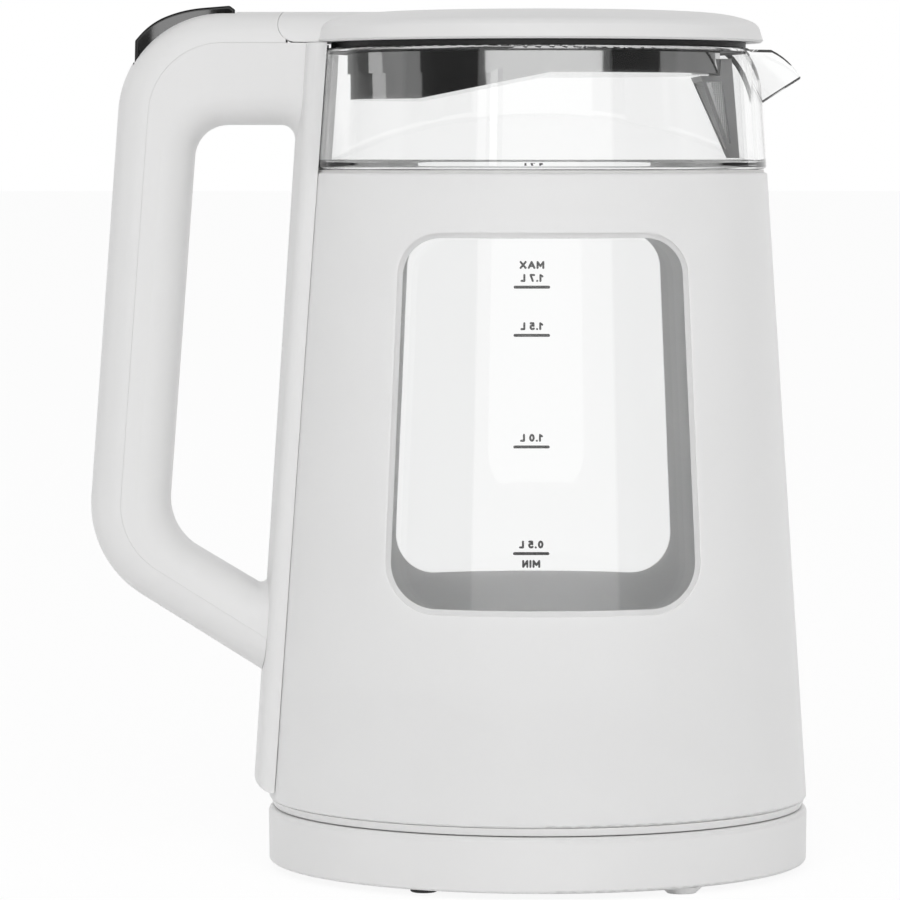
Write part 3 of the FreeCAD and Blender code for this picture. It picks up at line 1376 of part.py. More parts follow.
main()
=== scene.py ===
# %% [markdown]
# A white electric kettle: a glass jug inside a white moulded casing with a window on each side, standing on
# a round power base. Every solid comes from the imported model, already in its right place and in metres.
# This lesson dresses those solids: it gives each one a finish made of nodes, adds the printed level marks
# and the woven wire of the spout filter, and then sets up the camera and a plain studio.

# %% Load the frame
from math import atan2, cos, pi, radians, sin

import bmesh
import bpy
from mathutils import Matrix, Vector
from mathutils.bvhtree import BVHTree
from mathutils.geometry import convex_hull_2d


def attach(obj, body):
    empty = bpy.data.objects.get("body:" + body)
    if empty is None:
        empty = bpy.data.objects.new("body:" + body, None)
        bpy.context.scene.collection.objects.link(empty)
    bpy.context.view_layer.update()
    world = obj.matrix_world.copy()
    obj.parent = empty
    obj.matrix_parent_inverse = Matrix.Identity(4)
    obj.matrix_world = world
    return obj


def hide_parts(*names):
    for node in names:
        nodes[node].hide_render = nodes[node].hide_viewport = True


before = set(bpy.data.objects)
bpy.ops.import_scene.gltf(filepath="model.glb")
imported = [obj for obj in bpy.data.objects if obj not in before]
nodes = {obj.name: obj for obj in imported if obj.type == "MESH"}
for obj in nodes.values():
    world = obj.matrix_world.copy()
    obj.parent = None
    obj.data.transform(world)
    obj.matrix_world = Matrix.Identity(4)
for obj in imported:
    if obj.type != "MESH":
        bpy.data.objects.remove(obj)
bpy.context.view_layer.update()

# %% [markdown]
# The camera comes first, because everything later is compared with the photograph. It stands about 1.6 m in
# front of the kettle and looks a little down on it. A long lens could be imitated by moving a short one
# closer, but then the near side would swell, so the real distance and the long lens are used.

# %% Camera
MM = 0.001
CAMERA_AT = (-0.0400, -1.5805, 0.2135)
CAMERA_PITCH_DOWN = 3.2
CAMERA_TURN_RIGHT = 0.493
SENSOR = 36.0
PHOTO_PX = 900
FOCAL_PX = 5269
lens = bpy.data.cameras.new("photo_camera")
lens.sensor_width = SENSOR
lens.lens = SENSOR * FOCAL_PX / PHOTO_PX
lens.clip_start = 0.01
camera = bpy.data.objects.new("photo_camera", lens)
camera.location = CAMERA_AT
camera.rotation_euler = (radians(90 - CAMERA_PITCH_DOWN), 0, radians(-CAMERA_TURN_RIGHT))
bpy.context.scene.collection.objects.link(camera)
bpy.context.scene.camera = camera
print("camera lens in mm:", round(lens.lens, 1))

# %% [markdown]
# Finishes are written as sums. Adding a Math node by hand for every plus sign makes long scripts, so one
# small class holds an output socket and turns Python's signs into Math nodes. Its one method adds any other
# kind of node: settings first, then the values or links of its sockets.

# %% Sums that build nodes
class Wire:
    def __init__(self, tree, socket=None):
        self.tree = tree
        self.socket = socket

    def node(self, kind, settings=None, values=None, out=None):
        made = self.tree.nodes.new(kind if "Node" in kind else "ShaderNode" + kind)
        for name, value in (settings or {}).items():
            setattr(made, name, value)
        for name, value in (values or {}).items():
            socket = next(s for s in made.inputs if name in (s.identifier, s.name))
            if isinstance(value, Wire):
                self.tree.links.new(value.socket, socket)
            else:
                socket.default_value = value
        sockets = [s for s in made.outputs if out in (None, s.identifier, s.name)]
        return Wire(self.tree, sockets[0] if sockets else None)

    def sum(self, operation, a, b):
        return self.node("Math", {"operation": operation}, {"Value": a, "Value_001": b})

    def __add__(self, other):
        return self.sum("ADD", self, other)

    def __sub__(self, other):
        return self.sum("SUBTRACT", self, other)

    def __rsub__(self, other):
        return self.sum("SUBTRACT", other, self)

    def __mul__(self, other):
        return self.sum("MULTIPLY", self, other)

    def __pow__(self, other):
        return self.sum("POWER", self, other)

    __radd__ = __add__
    __rmul__ = __mul__


def colour(level, warm=0.0):
    return (level * (1 + warm), level, level * (1 - warm), 1.0)


def blank(name):
    finish = bpy.data.materials.new(name)
    finish.use_nodes = True
    finish.node_tree.nodes.clear()
    return finish, Wire(finish.node_tree)


def spread(pen, size_mm, detail=2.0, stretch=(1.0, 1.0, 1.0)):
    """Cloudy noise whose patches are about size_mm wide, on the piece's own coordinates."""
    place = pen.node("TexCoord", out="Object")
    place = pen.node("Mapping", {}, {"Vector": place, "Scale": stretch})
    return pen.node("TexNoise", {}, {"Vector": place, "Scale": 1 / (size_mm * MM), "Detail": detail})


def tint(pen, mask, low, high):
    mix = {"Factor_Float": mask, "A_Color": low, "B_Color": high}
    return pen.node("Mix", {"data_type": "RGBA"}, mix, out="Result_Color")


def relief(pen, height, depth_mm, strength=1.0):
    return pen.node("Bump", {}, {"Height": height, "Distance": depth_mm * MM, "Strength": strength})


def surface(finish, pen, values):
    shader = pen.node("BsdfPrincipled", {}, values)
    pen.node("OutputMaterial", {}, {"Surface": shader})
    return finish


print("finish helpers ready")

# %% [markdown]
# The casing, handle, lid and base are white plastic from a spark-eroded mould: satin, with a grain finer than
# half a millimetre that only shows where light grazes. A flat white would look like paper, so a slow cloud
# moves colour and gloss by a few per cent, the way moulded plastic cools unevenly, and a fine noise gives
# relief. The casing's single wall, two millimetres thick, also lets some light through, so its inside is not
# dark. The shader's subsurface part does that, and a paler colour makes up for the light that is lost.

# %% White moulded plastic
def white_satin(name, low, high, through):
    finish, pen = blank(name)
    cloud = spread(pen, 45.0, 2.0)
    grain = spread(pen, 0.45, 3.0)
    return surface(finish, pen, {
        "Base Color": tint(pen, cloud, colour(low, 0.002), colour(high, 0.002)),
        "Roughness": 0.33 + 0.10 * cloud + 0.06 * grain,
        "Normal": relief(pen, grain, 0.012, 0.35),
        "IOR": 1.46,
        "Subsurface Weight": through,
        "Subsurface Radius": (1.0, 1.0, 1.0),
        "Subsurface Scale": 6.0 * MM,
    })


WHITE = white_satin("white_satin", 0.742, 0.778, 0.0)
WHITE_WALL = white_satin("white_thin_wall", 0.850, 0.885, 0.75)
print("made", WHITE.name, WHITE_WALL.name)

# %% [markdown]
# Three dark or grey plastics. The thumb switch is polished black with faint wiping marks in its gloss. The
# hidden black mouldings are matt with a coarser spark grain. The filter's frame is a mid grey satin.

# %% Black and grey plastics
def gloss_black():
    finish, pen = blank("gloss_black")
    wipes = spread(pen, 6.0, 4.0, (1.0, 0.25, 1.0))
    return surface(finish, pen, {
        "Base Color": tint(pen, wipes, colour(0.008), colour(0.016)),
        "Roughness": 0.03 + 0.09 * wipes ** 2,
        "Coat Weight": 0.6 + 0.4 * wipes,
        "IOR": 1.55,
    })


def moulded(name, low, high, roughness, grain_mm=0.4):
    finish, pen = blank(name)
    cloud = spread(pen, 12.0, 2.0)
    grain = spread(pen, grain_mm, 3.0)
    return surface(finish, pen, {
        "Base Color": tint(pen, cloud, low, high),
        "Roughness": roughness + 0.12 * cloud,
        "Normal": relief(pen, grain, 0.03, 0.4),
    })


GLOSS_BLACK = gloss_black()
MATT_BLACK = moulded("matt_black", colour(0.022), colour(0.032), 0.46)
GREY = moulded("grey_moulded", colour(0.34), colour(0.38), 0.34)
print("made", GLOSS_BLACK.name, MATT_BLACK.name, GREY.name)

# %% [markdown]
# Rubber and silicone are soft: no sharp highlight, a dusty bloom where they are handled, and a fine pebble
# left by the mould. Silicone lets a little light in, which a pale colour and a low gloss are enough to show
# on rings this thin.

# %% Rubber and silicone
def soft_ring(name, low, high, roughness):
    finish, pen = blank(name)
    bloom = spread(pen, 5.0, 4.0)
    pebble = spread(pen, 0.35, 2.0)
    return surface(finish, pen, {
        "Base Color": tint(pen, bloom, low, high),
        "Roughness": roughness + 0.18 * bloom,
        "Normal": relief(pen, pebble, 0.04, 0.5),
    })


RUBBER = soft_ring("dark_rubber", colour(0.020), colour(0.038), 0.55)
SILICONE = soft_ring("pale_silicone", colour(0.62, 0.01), colour(0.70, 0.01), 0.40)
print("made", RUBBER.name, SILICONE.name)

# %% [markdown]
# The jug is clear pressed glass about 2.5 mm thick. The solid already has both walls, so true refraction
# gives the dark rims by itself. What the solid lacks is the slow ripple of pressed glass and the faint film
# that water leaves: a gentle bump and a very small change of roughness.

# %% Jug glass
def jug_glass():
    finish, pen = blank("jug_glass")
    ripple = spread(pen, 30.0, 1.0)
    film = spread(pen, 9.0, 4.0)
    return surface(finish, pen, {
        "Base Color": (0.998, 1.0, 0.999, 1.0),
        "Roughness": 0.012 * film ** 3,
        "Transmission Weight": 1.0,
        "IOR": 1.47,
        "Normal": relief(pen, ripple, 0.05, 0.25),
    })


GLASS = jug_glass()
print("made", GLASS.name)

# %% [markdown]
# Metals differ in how they were worked. The lid's cup is deep drawn and polished, with a trace of draw lines.
# The heater plate is brushed in circles, so its scratches follow the distance from the middle. Screws are
# zinc plated, the spreader is rolled aluminium, and contacts and bimetal discs are plain strip. The filter's
# wire is so fine that its round sides scatter light like a matt cloth, so a pale matt finish stands for it.

# %% Metals
SCRATCHES_PER_M = 6000.0


def polished_cup():
    finish, pen = blank("polished_cup")
    drawn = spread(pen, 1.2, 3.0, (0.05, 0.05, 1.0))
    haze = spread(pen, 14.0, 3.0)
    return surface(finish, pen, {
        "Base Color": tint(pen, haze, colour(0.55), colour(0.60)),
        "Metallic": 1.0,
        "Roughness": 0.035 + 0.05 * haze + 0.03 * drawn,
        "Normal": relief(pen, drawn, 0.004, 0.25),
    })


def brushed_round(name, low, high):
    finish, pen = blank(name)
    place = pen.node("TexCoord", out="Object")
    flat = pen.node("VectorMath", {"operation": "MULTIPLY"}, {"Vector": place, "Vector_001": (1.0, 1.0, 0.0)})
    radius = pen.node("VectorMath", {"operation": "LENGTH"}, {"Vector": flat}, out="Value")
    turns = {"W": radius * SCRATCHES_PER_M, "Scale": 1.0, "Detail": 4.0}
    scratch = pen.node("TexNoise", {"noise_dimensions": "1D"}, turns)
    haze = spread(pen, 10.0, 3.0)
    return surface(finish, pen, {
        "Base Color": tint(pen, scratch, low, high),
        "Metallic": 1.0,
        "Roughness": 0.20 + 0.14 * scratch + 0.06 * haze,
        "Normal": relief(pen, scratch, 0.010, 0.3),
    })


def plain_metal(name, low, high, roughness, patch_mm):
    finish, pen = blank(name)
    patch = spread(pen, patch_mm, 4.0)
    grain = spread(pen, 0.25, 2.0)
    return surface(finish, pen, {
        "Base Color": tint(pen, patch, low, high),
        "Metallic": 1.0,
        "Roughness": roughness + 0.16 * patch,
        "Normal": relief(pen, grain, 0.012, 0.3),
    })


CUP_STEEL = polished_cup()
PLATE_STEEL = brushed_round("brushed_plate", colour(0.52), colour(0.62))
SCREW_STEEL = plain_metal("zinc_screw", colour(0.46), colour(0.58, -0.01), 0.24, 1.5)
ALUMINIUM = plain_metal("rolled_aluminium", colour(0.60, -0.01), colour(0.68, -0.01), 0.34, 3.0)
BRASS = plain_metal("contact_brass", (0.62, 0.42, 0.16, 1.0), (0.76, 0.56, 0.25, 1.0), 0.22, 2.0)
BIMETAL = plain_metal("bimetal_strip", (0.50, 0.42, 0.34, 1.0), (0.60, 0.53, 0.45, 1.0), 0.26, 2.5)
WEAVE_STEEL = moulded("woven_wire", colour(0.88), colour(0.94), 0.42)
metals = (CUP_STEEL, PLATE_STEEL, SCREW_STEEL, ALUMINIUM, BRASS, BIMETAL, WEAVE_STEEL)
print("made", *[finish.name for finish in metals])

# %% [markdown]
# The wires inside the base and handle wear a braided sleeve. A checker of two crossing waves, a few
# millimetres long, stands for the braid, because the sleeve is only about two millimetres thick.

# %% Braided sleeve
def braided_sleeve():
    finish, pen = blank("braided_sleeve")
    place = pen.node("TexCoord", out="Object")
    bands = {"Scale": 1 / (6.0 * MM), "Distortion": 0.0}
    lift = {"wave_type": "BANDS", "bands_direction": "DIAGONAL"}
    turned = pen.node("Mapping", {}, {"Vector": place, "Rotation": (0.0, 0.0, pi / 2)})
    left = pen.node("TexWave", lift, {**bands, "Vector": place}, out="Fac")
    right = pen.node("TexWave", lift, {**bands, "Vector": turned}, out="Fac")
    braid = left * right
    return surface(finish, pen, {
        "Base Color": tint(pen, braid, colour(0.48, 0.03), colour(0.68, 0.03)),
        "Roughness": 0.62 + 0.2 * braid,
        "Normal": relief(pen, braid, 0.15, 0.6),
    })


SLEEVE = braided_sleeve()
print("made", SLEEVE.name)

# %% [markdown]
# Each solid carries one material slot. Assigning by node name keeps it plain which finish goes where, and a
# node that was forgotten shows up in the printed count.

# %% Dress the solids
DRESS = {
    WHITE: "bottom_cover base_shell base_bottom_plate handle_body handle_cover lid_cover cord_outlet",
    WHITE_WALL: "outer_casing",
    GLOSS_BLACK: "rocker_cap",
    MATT_BLACK: "lid_tray connector_plug connector_socket thermal_control steam_switch hinge_bracket",
    GREY: "filter_frame jug_carrier",
    RUBBER: "base_feet lid_seal",
    SILICONE: "plate_seal shoulder_gasket",
    GLASS: "glass_jug",
    CUP_STEEL: "lid_cup",
    PLATE_STEEL: "heater_plate heating_element",
    SCREW_STEEL: "base_screws cover_screws spine_screws lid_screws hinge_pin rocker_pin",
    ALUMINIUM: "heat_spreader",
    BRASS: "plug_contacts socket_contacts pin_spring centre_pin",
    BIMETAL: "snap_discs steam_disc",
    SLEEVE: "base_wires handle_wires",
    WEAVE_STEEL: "filter_mesh",
}
dressed = 0
for finish, names in DRESS.items():
    for name in names.split():
        slots = nodes[name].data.materials
        slots.clear()
        slots.append(finish)
        dressed += 1
print("dressed", dressed, "of", len(nodes), "solids")

# %% [markdown]
# The level marks are printed on the outside of the glass behind the far window, so they read the right way
# round from that side. A text object would do, but its thin strokes vanish at this size. The real print has
# even, bold strokes with round ends, so each letter is drawn as a few pen strokes, and one small function
# makes every stroke, the long level lines too. Widths and heights are in millimetres.

# %% Pen strokes for the print
MARK_X = -0.24
LINE_LONG = 10.8
LINE_THICK = 0.95
PEN = 0.68
CAP_HEIGHT = 1.84
LETTER_GAP = 1.00
STROKE_STEPS = 5
OVAL = [(0.31 + 0.31 * sin(pi * i / 6), 0.5 + 0.5 * cos(pi * i / 6)) for i in range(13)]
LETTERS = {
    " ": [[(0.0, 0.0), (0.0, 0.0)]],
    ".": [[(0.0, 0.0), (0.02, 0.0)]],
    "0": [OVAL],
    "1": [[(0.0, 0.76), (0.34, 1.0), (0.34, 0.0)]],
    "5": [[(0.56, 1.0), (0.10, 1.0), (0.05, 0.56), (0.30, 0.64), (0.54, 0.52), (0.58, 0.28), (0.44, 0.05),
           (0.20, 0.0), (0.0, 0.10)]],
    "7": [[(0.0, 1.0), (0.60, 1.0), (0.22, 0.0)]],
    "A": [[(0.0, 0.0), (0.49, 1.0), (0.98, 0.0)], [(0.17, 0.33), (0.81, 0.33)]],
    "I": [[(0.0, 0.0), (0.0, 1.0)]],
    "L": [[(0.0, 1.0), (0.0, 0.0), (0.50, 0.0)]],
    "M": [[(0.0, 0.0), (0.0, 1.0), (0.50, 0.30), (1.0, 1.0), (1.0, 0.0)]],
    "N": [[(0.0, 0.0), (0.0, 1.0), (0.72, 0.0), (0.72, 1.0)]],
    "X": [[(0.0, 1.0), (0.88, 0.0)], [(0.0, 0.0), (0.88, 1.0)]],
}


def add_stroke(sheet, start, end, thick):
    """One flat stroke with round ends."""
    turn = atan2(end[1] - start[1], end[0] - start[0])
    rim = []
    for (x, y), first in ((end, turn - pi / 2), (start, turn + pi / 2)):
        for i in range(STROKE_STEPS + 1):
            a = first + pi * i / STROKE_STEPS
            rim.append(sheet.verts.new((x + thick / 2 * cos(a), y + thick / 2 * sin(a), 0)))
    sheet.faces.new(rim)


def letter_width(letter):
    return CAP_HEIGHT * max(x for path in LETTERS[letter] for x, y in path)


def add_words(sheet, words, foot_z):
    """A row of letters, centred on the mark."""
    x = -sum(letter_width(letter) + LETTER_GAP for letter in words) / 2 + LETTER_GAP / 2
    for letter in words:
        if letter != " ":
            for path in LETTERS[letter]:
                places = [(x + CAP_HEIGHT * u, foot_z + CAP_HEIGHT * v) for u, v in path]
                for start, end in zip(places, places[1:]):
                    add_stroke(sheet, start, end, PEN)
        x += letter_width(letter) + LETTER_GAP


print("letters drawn:", len(LETTERS))

# %% [markdown]
# The scale itself: four lines at their heights above the table, each with its own words. A long line would
# cut straight through the curved glass, so it is drawn as a row of short strokes that overlap.

# %% The level scale
LINE_PARTS = 10
MARKS = (
    (88.5, ((1.95, "0.5 L"), (-4.2, "MIN"))),
    (122.2, ((1.95, "1.0 L"),)),
    (157.3, ((1.95, "1.5 L"),)),
    (172.4, ((1.95, "1.7 L"), (6.0, "MAX"))),
)
ink_sheet = bmesh.new()
for line_z, rows in MARKS:
    ends = [(LINE_LONG * (i / LINE_PARTS - 0.5), line_z) for i in range(LINE_PARTS + 1)]
    for start, end in zip(ends, ends[1:]):
        add_stroke(ink_sheet, start, end, LINE_THICK)
    for lift, words in rows:
        add_words(ink_sheet, words, line_z + lift)
print("strokes in the print:", len(ink_sheet.faces))

# %% [markdown]
# Now the drop onto the glass. The flat print's right-hand side points to -X, because it is read from the +Y
# side. A ray from far out along Y finds the glass, and the ink stands just clear of it. The ink itself is
# nearly black and slightly uneven, as screen print is.

# %% Drop the print onto the glass
INK_LIFT = 0.03
INK_THICK = 0.03
RAY_START_Y = 0.2


def node_surface(name):
    mesh = nodes[name].data
    corners = [v.co for v in mesh.vertices]
    return BVHTree.FromPolygons(corners, [tuple(p.vertices) for p in mesh.polygons])


def screen_ink():
    finish, pen = blank("screen_ink")
    screen = spread(pen, 0.3, 3.0)
    return surface(finish, pen, {
        "Base Color": tint(pen, screen, colour(0.012), colour(0.026)),
        "Roughness": 0.45 + 0.2 * screen,
        "Normal": relief(pen, screen, 0.01, 0.3),
    })


def drop_on_glass(sheet):
    glass = node_surface("glass_jug")
    for vert in sheet.verts:
        start = Vector(((MARK_X - vert.co.x) * MM, RAY_START_Y, vert.co.y * MM))
        hit = glass.ray_cast(start, Vector((0, -1, 0)))[0]
        vert.co = hit + Vector((0, 1, 0)) * INK_LIFT * MM
    bmesh.ops.recalc_face_normals(sheet, faces=sheet.faces)
    thick = bmesh.ops.extrude_face_region(sheet, geom=sheet.faces[:])
    for part in thick["geom"]:
        if isinstance(part, bmesh.types.BMVert):
            part.co.y += INK_THICK * MM
    bmesh.ops.recalc_face_normals(sheet, faces=sheet.faces)


drop_on_glass(ink_sheet)
ink_mesh = bpy.data.meshes.new("level_marks")
ink_sheet.to_mesh(ink_mesh)
ink_sheet.free()
ink_mesh.materials.append(screen_ink())
level_marks = bpy.data.objects.new("level_marks", ink_mesh)
bpy.context.scene.collection.objects.link(level_marks)
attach(level_marks, "kettle")
print("level marks faces:", len(ink_mesh.polygons))

# %% [markdown]
# The filter in the spout has three windows of woven steel wire. The solids there are thin plates, so the real
# weave is made here. Nearly 200 wires could be placed in a Python loop, but they follow one rule: each runs
# straight in plan and waves over and under its neighbours. Geometry Nodes say that rule once. Lines are set
# out at the pitch, cut to the window's shape by looking straight down at it, lifted by a product of cosines
# that has the opposite sign for the crossing wires, and given a round section. A wire cut down to a single
# point is dropped, because it would leave a stray face in a corner.

# %% The weave as a node tree
SECTION_SIDES = 4
STEPS_PER_PITCH = 4
RAY_HEIGHT = 0.01


def weave_tree():
    tree = bpy.data.node_groups.new("woven_wire", "GeometryNodeTree")
    face = tree.interface
    face.new_socket("Geometry", in_out="OUTPUT", socket_type="NodeSocketGeometry")
    face.new_socket("Window", in_out="INPUT", socket_type="NodeSocketGeometry")
    for name in ("Half Width", "Half Height", "Pitch", "Wire Radius"):
        face.new_socket(name, in_out="INPUT", socket_type="NodeSocketFloat")
    face.new_socket("Finish", in_out="INPUT", socket_type="NodeSocketMaterial")
    pen = Wire(tree)
    entry = tree.nodes.new("NodeGroupInput")
    given = {s.name: Wire(tree, s) for s in entry.outputs if s.name}
    sizes = {"Resolution": SECTION_SIDES, "Radius": given["Wire Radius"]}
    section = pen.node("GeometryNodeCurvePrimitiveCircle", {}, sizes)
    woven = []
    for along, across, lift in (("Half Height", "Half Width", 1.0), ("Half Width", "Half Height", -1.0)):
        woven.append(wire_set(pen, given, along, across, lift, section))
    joined = tree.nodes.new("GeometryNodeJoinGeometry")
    for wires in woven:
        tree.links.new(wires.socket, joined.inputs[0])
    solid = pen.node("GeometryNodeRealizeInstances", {}, {"Geometry": Wire(tree, joined.outputs[0])})
    done = pen.node("GeometryNodeSetMaterial", {}, {"Geometry": solid, "Material": given["Finish"]})
    leave = tree.nodes.new("NodeGroupOutput")
    tree.links.new(done.socket, leave.inputs[0])
    return tree


def wire_set(pen, given, along, across, lift, section):
    """All wires of one direction: set out, cut to the window, waved and made round."""
    pitch = given["Pitch"]
    upright = along == "Half Height"
    count = pen.sum("CEIL", pen.sum("DIVIDE", given[across], pitch), 0.0)
    reach = count * pitch

    def point(run, side):
        return pen.node("CombineXYZ", {}, {"X": side if upright else run, "Y": run if upright else side})

    ends = {"Start": point(-1.0 * given[along], 0.0), "End": point(given[along], 0.0)}
    line = pen.node("GeometryNodeCurvePrimitiveLine", {}, ends)
    step = {"Curve": line, "Length": pitch * (1 / STEPS_PER_PITCH)}
    line = pen.node("GeometryNodeResampleCurve", {"mode": "LENGTH"}, step)
    rows = pen.node("GeometryNodeMeshLine", {}, {
        "Count": 2.0 * count + 1.0, "Start Location": point(0.0, -1.0 * reach), "Offset": point(0.0, pitch)})
    wires = pen.node("GeometryNodeInstanceOnPoints", {}, {"Points": rows, "Instance": line})
    wires = pen.node("GeometryNodeRealizeInstances", {}, {"Geometry": wires})
    place = pen.node("GeometryNodeInputPosition")
    raised = {"Vector": place, "Vector_001": (0.0, 0.0, RAY_HEIGHT)}
    above = pen.node("VectorMath", {"operation": "ADD"}, raised)
    inside = pen.node("GeometryNodeRaycast", {}, {
        "Target Geometry": given["Window"], "Source Position": above, "Ray Direction": (0.0, 0.0, -1.0),
        "Ray Length": 2 * RAY_HEIGHT}, out="Is Hit")
    outside = pen.node("FunctionNodeBooleanMath", {"operation": "NOT"}, {"Boolean": inside})
    wires = pen.node("GeometryNodeDeleteGeometry", {}, {"Geometry": wires, "Selection": outside})
    lone = pen.sum("LESS_THAN", pen.node("GeometryNodeSplineLength", out="Point Count"), 2.0)
    dropped = {"Geometry": wires, "Selection": lone}
    wires = pen.node("GeometryNodeDeleteGeometry", {"domain": "CURVE"}, dropped)
    split = pen.node("SeparateXYZ", {}, {"Vector": place}, out="X")
    other = Wire(pen.tree, split.socket.node.outputs["Y"])
    beat = pen.sum("DIVIDE", pi, pitch)
    wave = pen.sum("COSINE", split * beat, 0.0) * pen.sum("COSINE", other * beat, 0.0)
    wave = pen.node("CombineXYZ", {}, {"Z": lift * given["Wire Radius"] * wave})
    wires = pen.node("GeometryNodeSetPosition", {}, {"Geometry": wires, "Offset": wave})
    tube = {"Curve": wires, "Profile Curve": section, "Fill Caps": True}
    return pen.node("GeometryNodeCurveToMesh", {}, tube)


WEAVE = weave_tree()
print("weave nodes:", len(WEAVE.nodes))

# %% [markdown]
# Each window's plate is read from the frame: its widest face gives the plane, and the outline of its corners
# gives the shape. The weave is made flat, turned into a plain mesh, and laid into the plane of the plate.

# %% Lay the weave into the filter
WEAVE_PITCH = 0.60 * MM
WEAVE_WIRE_R = 0.125 * MM
SAME_POINT = 1e-6


def plates(name):
    """Loose plates of a node, each as its corner points and the normal of its widest face."""
    shape = bmesh.new()
    shape.from_mesh(nodes[name].data)
    bmesh.ops.remove_doubles(shape, verts=shape.verts, dist=SAME_POINT)
    waiting = set(shape.verts)
    found = []
    while waiting:
        group, edge_of = set(), [waiting.pop()]
        while edge_of:
            vert = edge_of.pop()
            group.add(vert)
            nearby = {e.other_vert(vert) for e in vert.link_edges} & waiting
            waiting -= nearby
            edge_of += nearby
        widest = max({f for v in group for f in v.link_faces}, key=lambda f: f.calc_area())
        found.append(([v.co.copy() for v in group], widest.normal.copy()))
    shape.free()
    return found


def weave_window(corners, normal):
    """Weave for one plate, as a mesh in its place."""
    level = normal.cross(Vector((0, 0, 1))).normalized()
    rise = normal.cross(level)
    turn = Matrix((level, rise, normal)).transposed()
    flat = [turn.transposed() @ c for c in corners]
    low = Vector([min(c[i] for c in flat) for i in range(3)])
    high = Vector([max(c[i] for c in flat) for i in range(3)])
    middle = (low + high) / 2
    rim = [(flat[i] - middle).to_2d() for i in convex_hull_2d([c.to_2d() for c in flat])]
    mesh = bpy.data.meshes.new("window")
    mesh.from_pydata([(x, y, 0) for x, y in rim], [], [tuple(range(len(rim)))])
    window = bpy.data.objects.new("window", mesh)
    bpy.context.scene.collection.objects.link(window)
    modifier = window.modifiers.new("weave", "NODES")
    modifier.node_group = WEAVE
    half = (high - low) / 2
    wanted = {"Half Width": half.x, "Half Height": half.y, "Pitch": WEAVE_PITCH, "Wire Radius": WEAVE_WIRE_R,
              "Finish": WEAVE_STEEL}
    for item in WEAVE.interface.items_tree:
        if item.in_out == "INPUT" and item.name in wanted:
            modifier[item.identifier] = wanted[item.name]
    view = bpy.context.evaluated_depsgraph_get()
    woven = bpy.data.meshes.new_from_object(window.evaluated_get(view))
    window.modifiers.remove(modifier)
    bpy.data.objects.remove(window)
    woven.transform(turn.to_4x4() @ Matrix.Translation(middle))
    return woven


weave_sheet = bmesh.new()
for corners, normal in plates("filter_mesh"):
    woven = weave_window(corners, normal)
    weave_sheet.from_mesh(woven)
    print("window woven with faces:", len(woven.polygons))
    bpy.data.meshes.remove(woven)
weave_mesh = bpy.data.meshes.new("filter_weave")
weave_sheet.to_mesh(weave_mesh)
weave_sheet.free()
weave_mesh.materials.append(WEAVE_STEEL)
filter_weave = bpy.data.objects.new("filter_weave", weave_mesh)
bpy.context.scene.collection.objects.link(filter_weave)
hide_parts("filter_mesh")
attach(filter_weave, "filter")
print("weave faces:", len(weave_mesh.polygons))

# %% [markdown]
# The studio: a pale floor, a white room and one broad soft lamp in front. A uniformly white room would leave
# polished steel and glass without form, so dark flags stand at the sides, as a photographer sets them, and
# only reflections and glass see them. The room and floor show plain white to the camera and to glass, and the
# floor keeps a soft shadow. Light has to cross the jug's wall several times to reach the casing behind it, so
# the renderer may follow it through more surfaces than it does by itself. The lamp is kept out of glass, so
# matt surfaces that gather light by way of glass get more of the room's light from the front instead.

# %% Room and floor
ROOM_LIGHT = 0.98
OVERHEAD_DROP = 0.42
FRONT_GAIN = 6.0
FRONT_FOCUS = 6.0
MOST_BOUNCES = 28
MATT_BOUNCES = 5
FLOOR_WHITE = 0.90
FLOOR_HALF = 30.0


def seen_plainly(pen):
    """1 for rays from the camera or by way of glass or gloss, 0 for the rays that carry light."""
    total = pen.node("LightPath", out="Is Camera Ray")
    total = total + pen.node("LightPath", out="Is Glossy Ray")
    return pen.sum("MINIMUM", total + pen.node("LightPath", out="Is Transmission Ray"), 1.0)


room = bpy.data.worlds.new("white_room")
room.use_nodes = True
room.node_tree.nodes.clear()
room_pen = Wire(room.node_tree)
facing = room_pen.node("TexCoord", out="Generated")
upwards = room_pen.sum("MAXIMUM", room_pen.node("SeparateXYZ", {}, {"Vector": facing}, out="Z"), 0.0)
dimmed = ROOM_LIGHT - OVERHEAD_DROP * upwards
soft = room_pen.node("Background", {}, {"Color": colour(1.0), "Strength": dimmed})
frontal = room_pen.sum("MAXIMUM", 0.0 - room_pen.node("SeparateXYZ", {}, {"Vector": facing}, out="Y"), 0.0)
gathered = room_pen.sum("MINIMUM", room_pen.node("LightPath", out="Diffuse Depth"), 1.0)
glow = 1.0 + FRONT_GAIN * gathered * frontal ** FRONT_FOCUS
plain = room_pen.node("Background", {}, {"Color": colour(1.0), "Strength": glow})
both = room_pen.node("MixShader", {}, {"Fac": seen_plainly(room_pen), "Shader": soft, "Shader_001": plain})
room_pen.node("OutputWorld", {}, {"Surface": both})
bpy.context.scene.world = room
light_path = bpy.context.scene.cycles
light_path.max_bounces = MOST_BOUNCES
light_path.transmission_bounces = MOST_BOUNCES
light_path.diffuse_bounces = MATT_BOUNCES


def pale_floor():
    finish, pen = blank("pale_floor")
    paper = spread(pen, 60.0, 3.0)
    pale = tint(pen, paper, colour(0.95), colour(0.97))
    lit = pen.node("BsdfDiffuse", {}, {"Color": pale, "Roughness": 1.0})
    glow = pen.node("Emission", {}, {"Color": colour(1.0), "Strength": 1.0})
    share = FLOOR_WHITE * seen_plainly(pen)
    both = pen.node("MixShader", {}, {"Fac": share, "Shader": lit, "Shader_001": glow})
    pen.node("OutputMaterial", {}, {"Surface": both})
    return finish


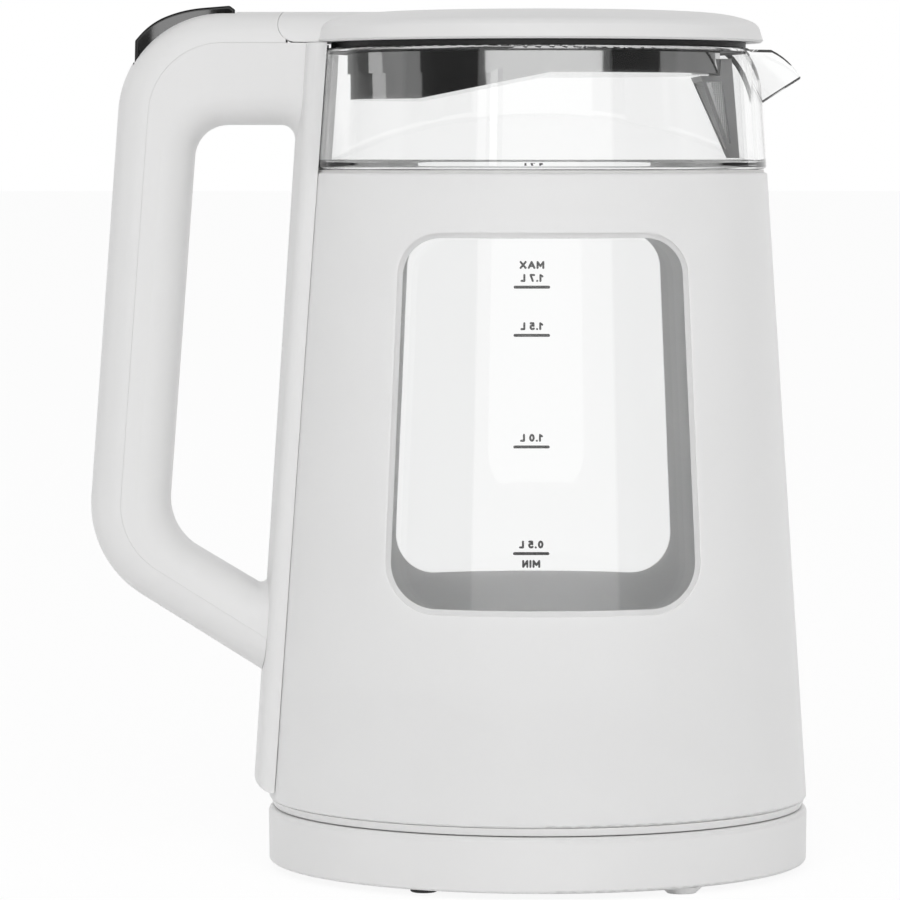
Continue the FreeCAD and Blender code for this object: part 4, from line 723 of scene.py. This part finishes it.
def sheet_object(name, corners, finish):
    mesh = bpy.data.meshes.new(name)
    mesh.from_pydata(corners, [], [tuple(range(len(corners)))])
    mesh.materials.append(finish)
    thing = bpy.data.objects.new(name, mesh)
    bpy.context.scene.collection.objects.link(thing)
    return thing


def level_square(half, z):
    return [(x * half, y * half, z) for x, y in ((-1, -1), (1, -1), (1, 1), (-1, 1))]


sheet_object("floor", level_square(FLOOR_HALF, 0), pale_floor())
print("room and floor ready")

# %% [markdown]
# The flags are upright sheets on a wide arc round the kettle, given as angles from the camera's side. The
# inner two are nearly black and the outer two mid grey, so that a polished round shows a bright middle, dark
# shoulders and softer ends. A dark sheet overhead keeps the top of the black switch black, and three small
# cards in front of the handle, dark, bright and dark, give its flat flank the same dark ends. By way of glass
# the overhead sheet and the cards are as white as the room, so they leave no stripe in the jug, and the lamp
# is hidden from gloss and glass for the same reason.

# %% Flags and lamp
FLAG_R = 1.45
FLAG_FOOT = 0.001
FLAG_TOP = 1.6
FLAG_STEPS = 8
FLAGS = ((36.0, 74.0, 0.03), (74.0, 128.0, 0.30), (-74.0, -32.0, 0.03), (-128.0, -74.0, 0.30))


def flag_cloth(level, through_glass):
    """One level in plain gloss, another by way of glass, and room light for what a matt surface gathers."""
    finish, pen = blank("flag_cloth")
    in_gloss, in_glass, room_glow = [
        pen.node("Emission", {}, {"Color": colour(1.0), "Strength": strength})
        for strength in (level, through_glass, ROOM_LIGHT)]
    glass = pen.sum("MINIMUM", pen.node("LightPath", out="Transmission Depth"), 1.0)
    seen = pen.node("MixShader", {}, {"Fac": glass, "Shader": in_gloss, "Shader_001": in_glass})
    gathered = pen.sum("MINIMUM", pen.node("LightPath", out="Diffuse Depth"), 1.0)
    both = pen.node("MixShader", {}, {"Fac": gathered, "Shader": seen, "Shader_001": room_glow})
    pen.node("OutputMaterial", {}, {"Surface": both})
    return finish


def hang(name, corners, level, through_glass):
    flag = sheet_object(name, corners, flag_cloth(level, through_glass))
    flag.visible_camera = False
    flag.visible_diffuse = False
    flag.visible_shadow = False


for number, (start, end, level) in enumerate(FLAGS):
    edges = [radians(start + (end - start) * i / FLAG_STEPS) for i in range(FLAG_STEPS + 1)]
    foot = [(FLAG_R * sin(a), -FLAG_R * cos(a), FLAG_FOOT) for a in edges]
    head = [(x, y, FLAG_TOP) for x, y, z in reversed(foot)]
    hang(f"flag_{number}", foot + head, level, level)

CEILING_HALF = 1.6
CEILING_Z = 1.7
CEILING_LEVEL = 0.02
hang("ceiling_flag", level_square(CEILING_HALF, CEILING_Z), CEILING_LEVEL, 1.0)

CARD_Y = -0.30
CARD_Z = (0.238, 0.275)
CARDS = ((-0.140, -0.129, 0.0), (-0.129, -0.1085, 2.8), (-0.1085, -0.094, 0.0))
for number, (left, right, level) in enumerate(CARDS):
    low, high = CARD_Z
    corners = [(left, CARD_Y, low), (right, CARD_Y, low), (right, CARD_Y, high), (left, CARD_Y, high)]
    hang(f"card_{number}", corners, level, 1.0)

LAMP_POWER = 17.0
LAMP_SIZE = (1.8, 2.4)
LAMP_AT = (-0.04, -2.2, 1.1)
LAMP_TILT = 66
lamp_data = bpy.data.lights.new("front_soft_lamp", "AREA")
lamp_data.shape = "RECTANGLE"
lamp_data.size, lamp_data.size_y = LAMP_SIZE
lamp_data.energy = LAMP_POWER
lamp = bpy.data.objects.new("front_soft_lamp", lamp_data)
lamp.location = LAMP_AT
lamp.rotation_euler = (radians(LAMP_TILT), 0, 0)
lamp.visible_glossy = False
lamp.visible_transmission = False
bpy.context.scene.collection.objects.link(lamp)
print("flags:", len(FLAGS), "cards:", len(CARDS), "lamp power:", LAMP_POWER)

# %% Finish
bpy.context.scene.view_settings.view_transform = "Standard"
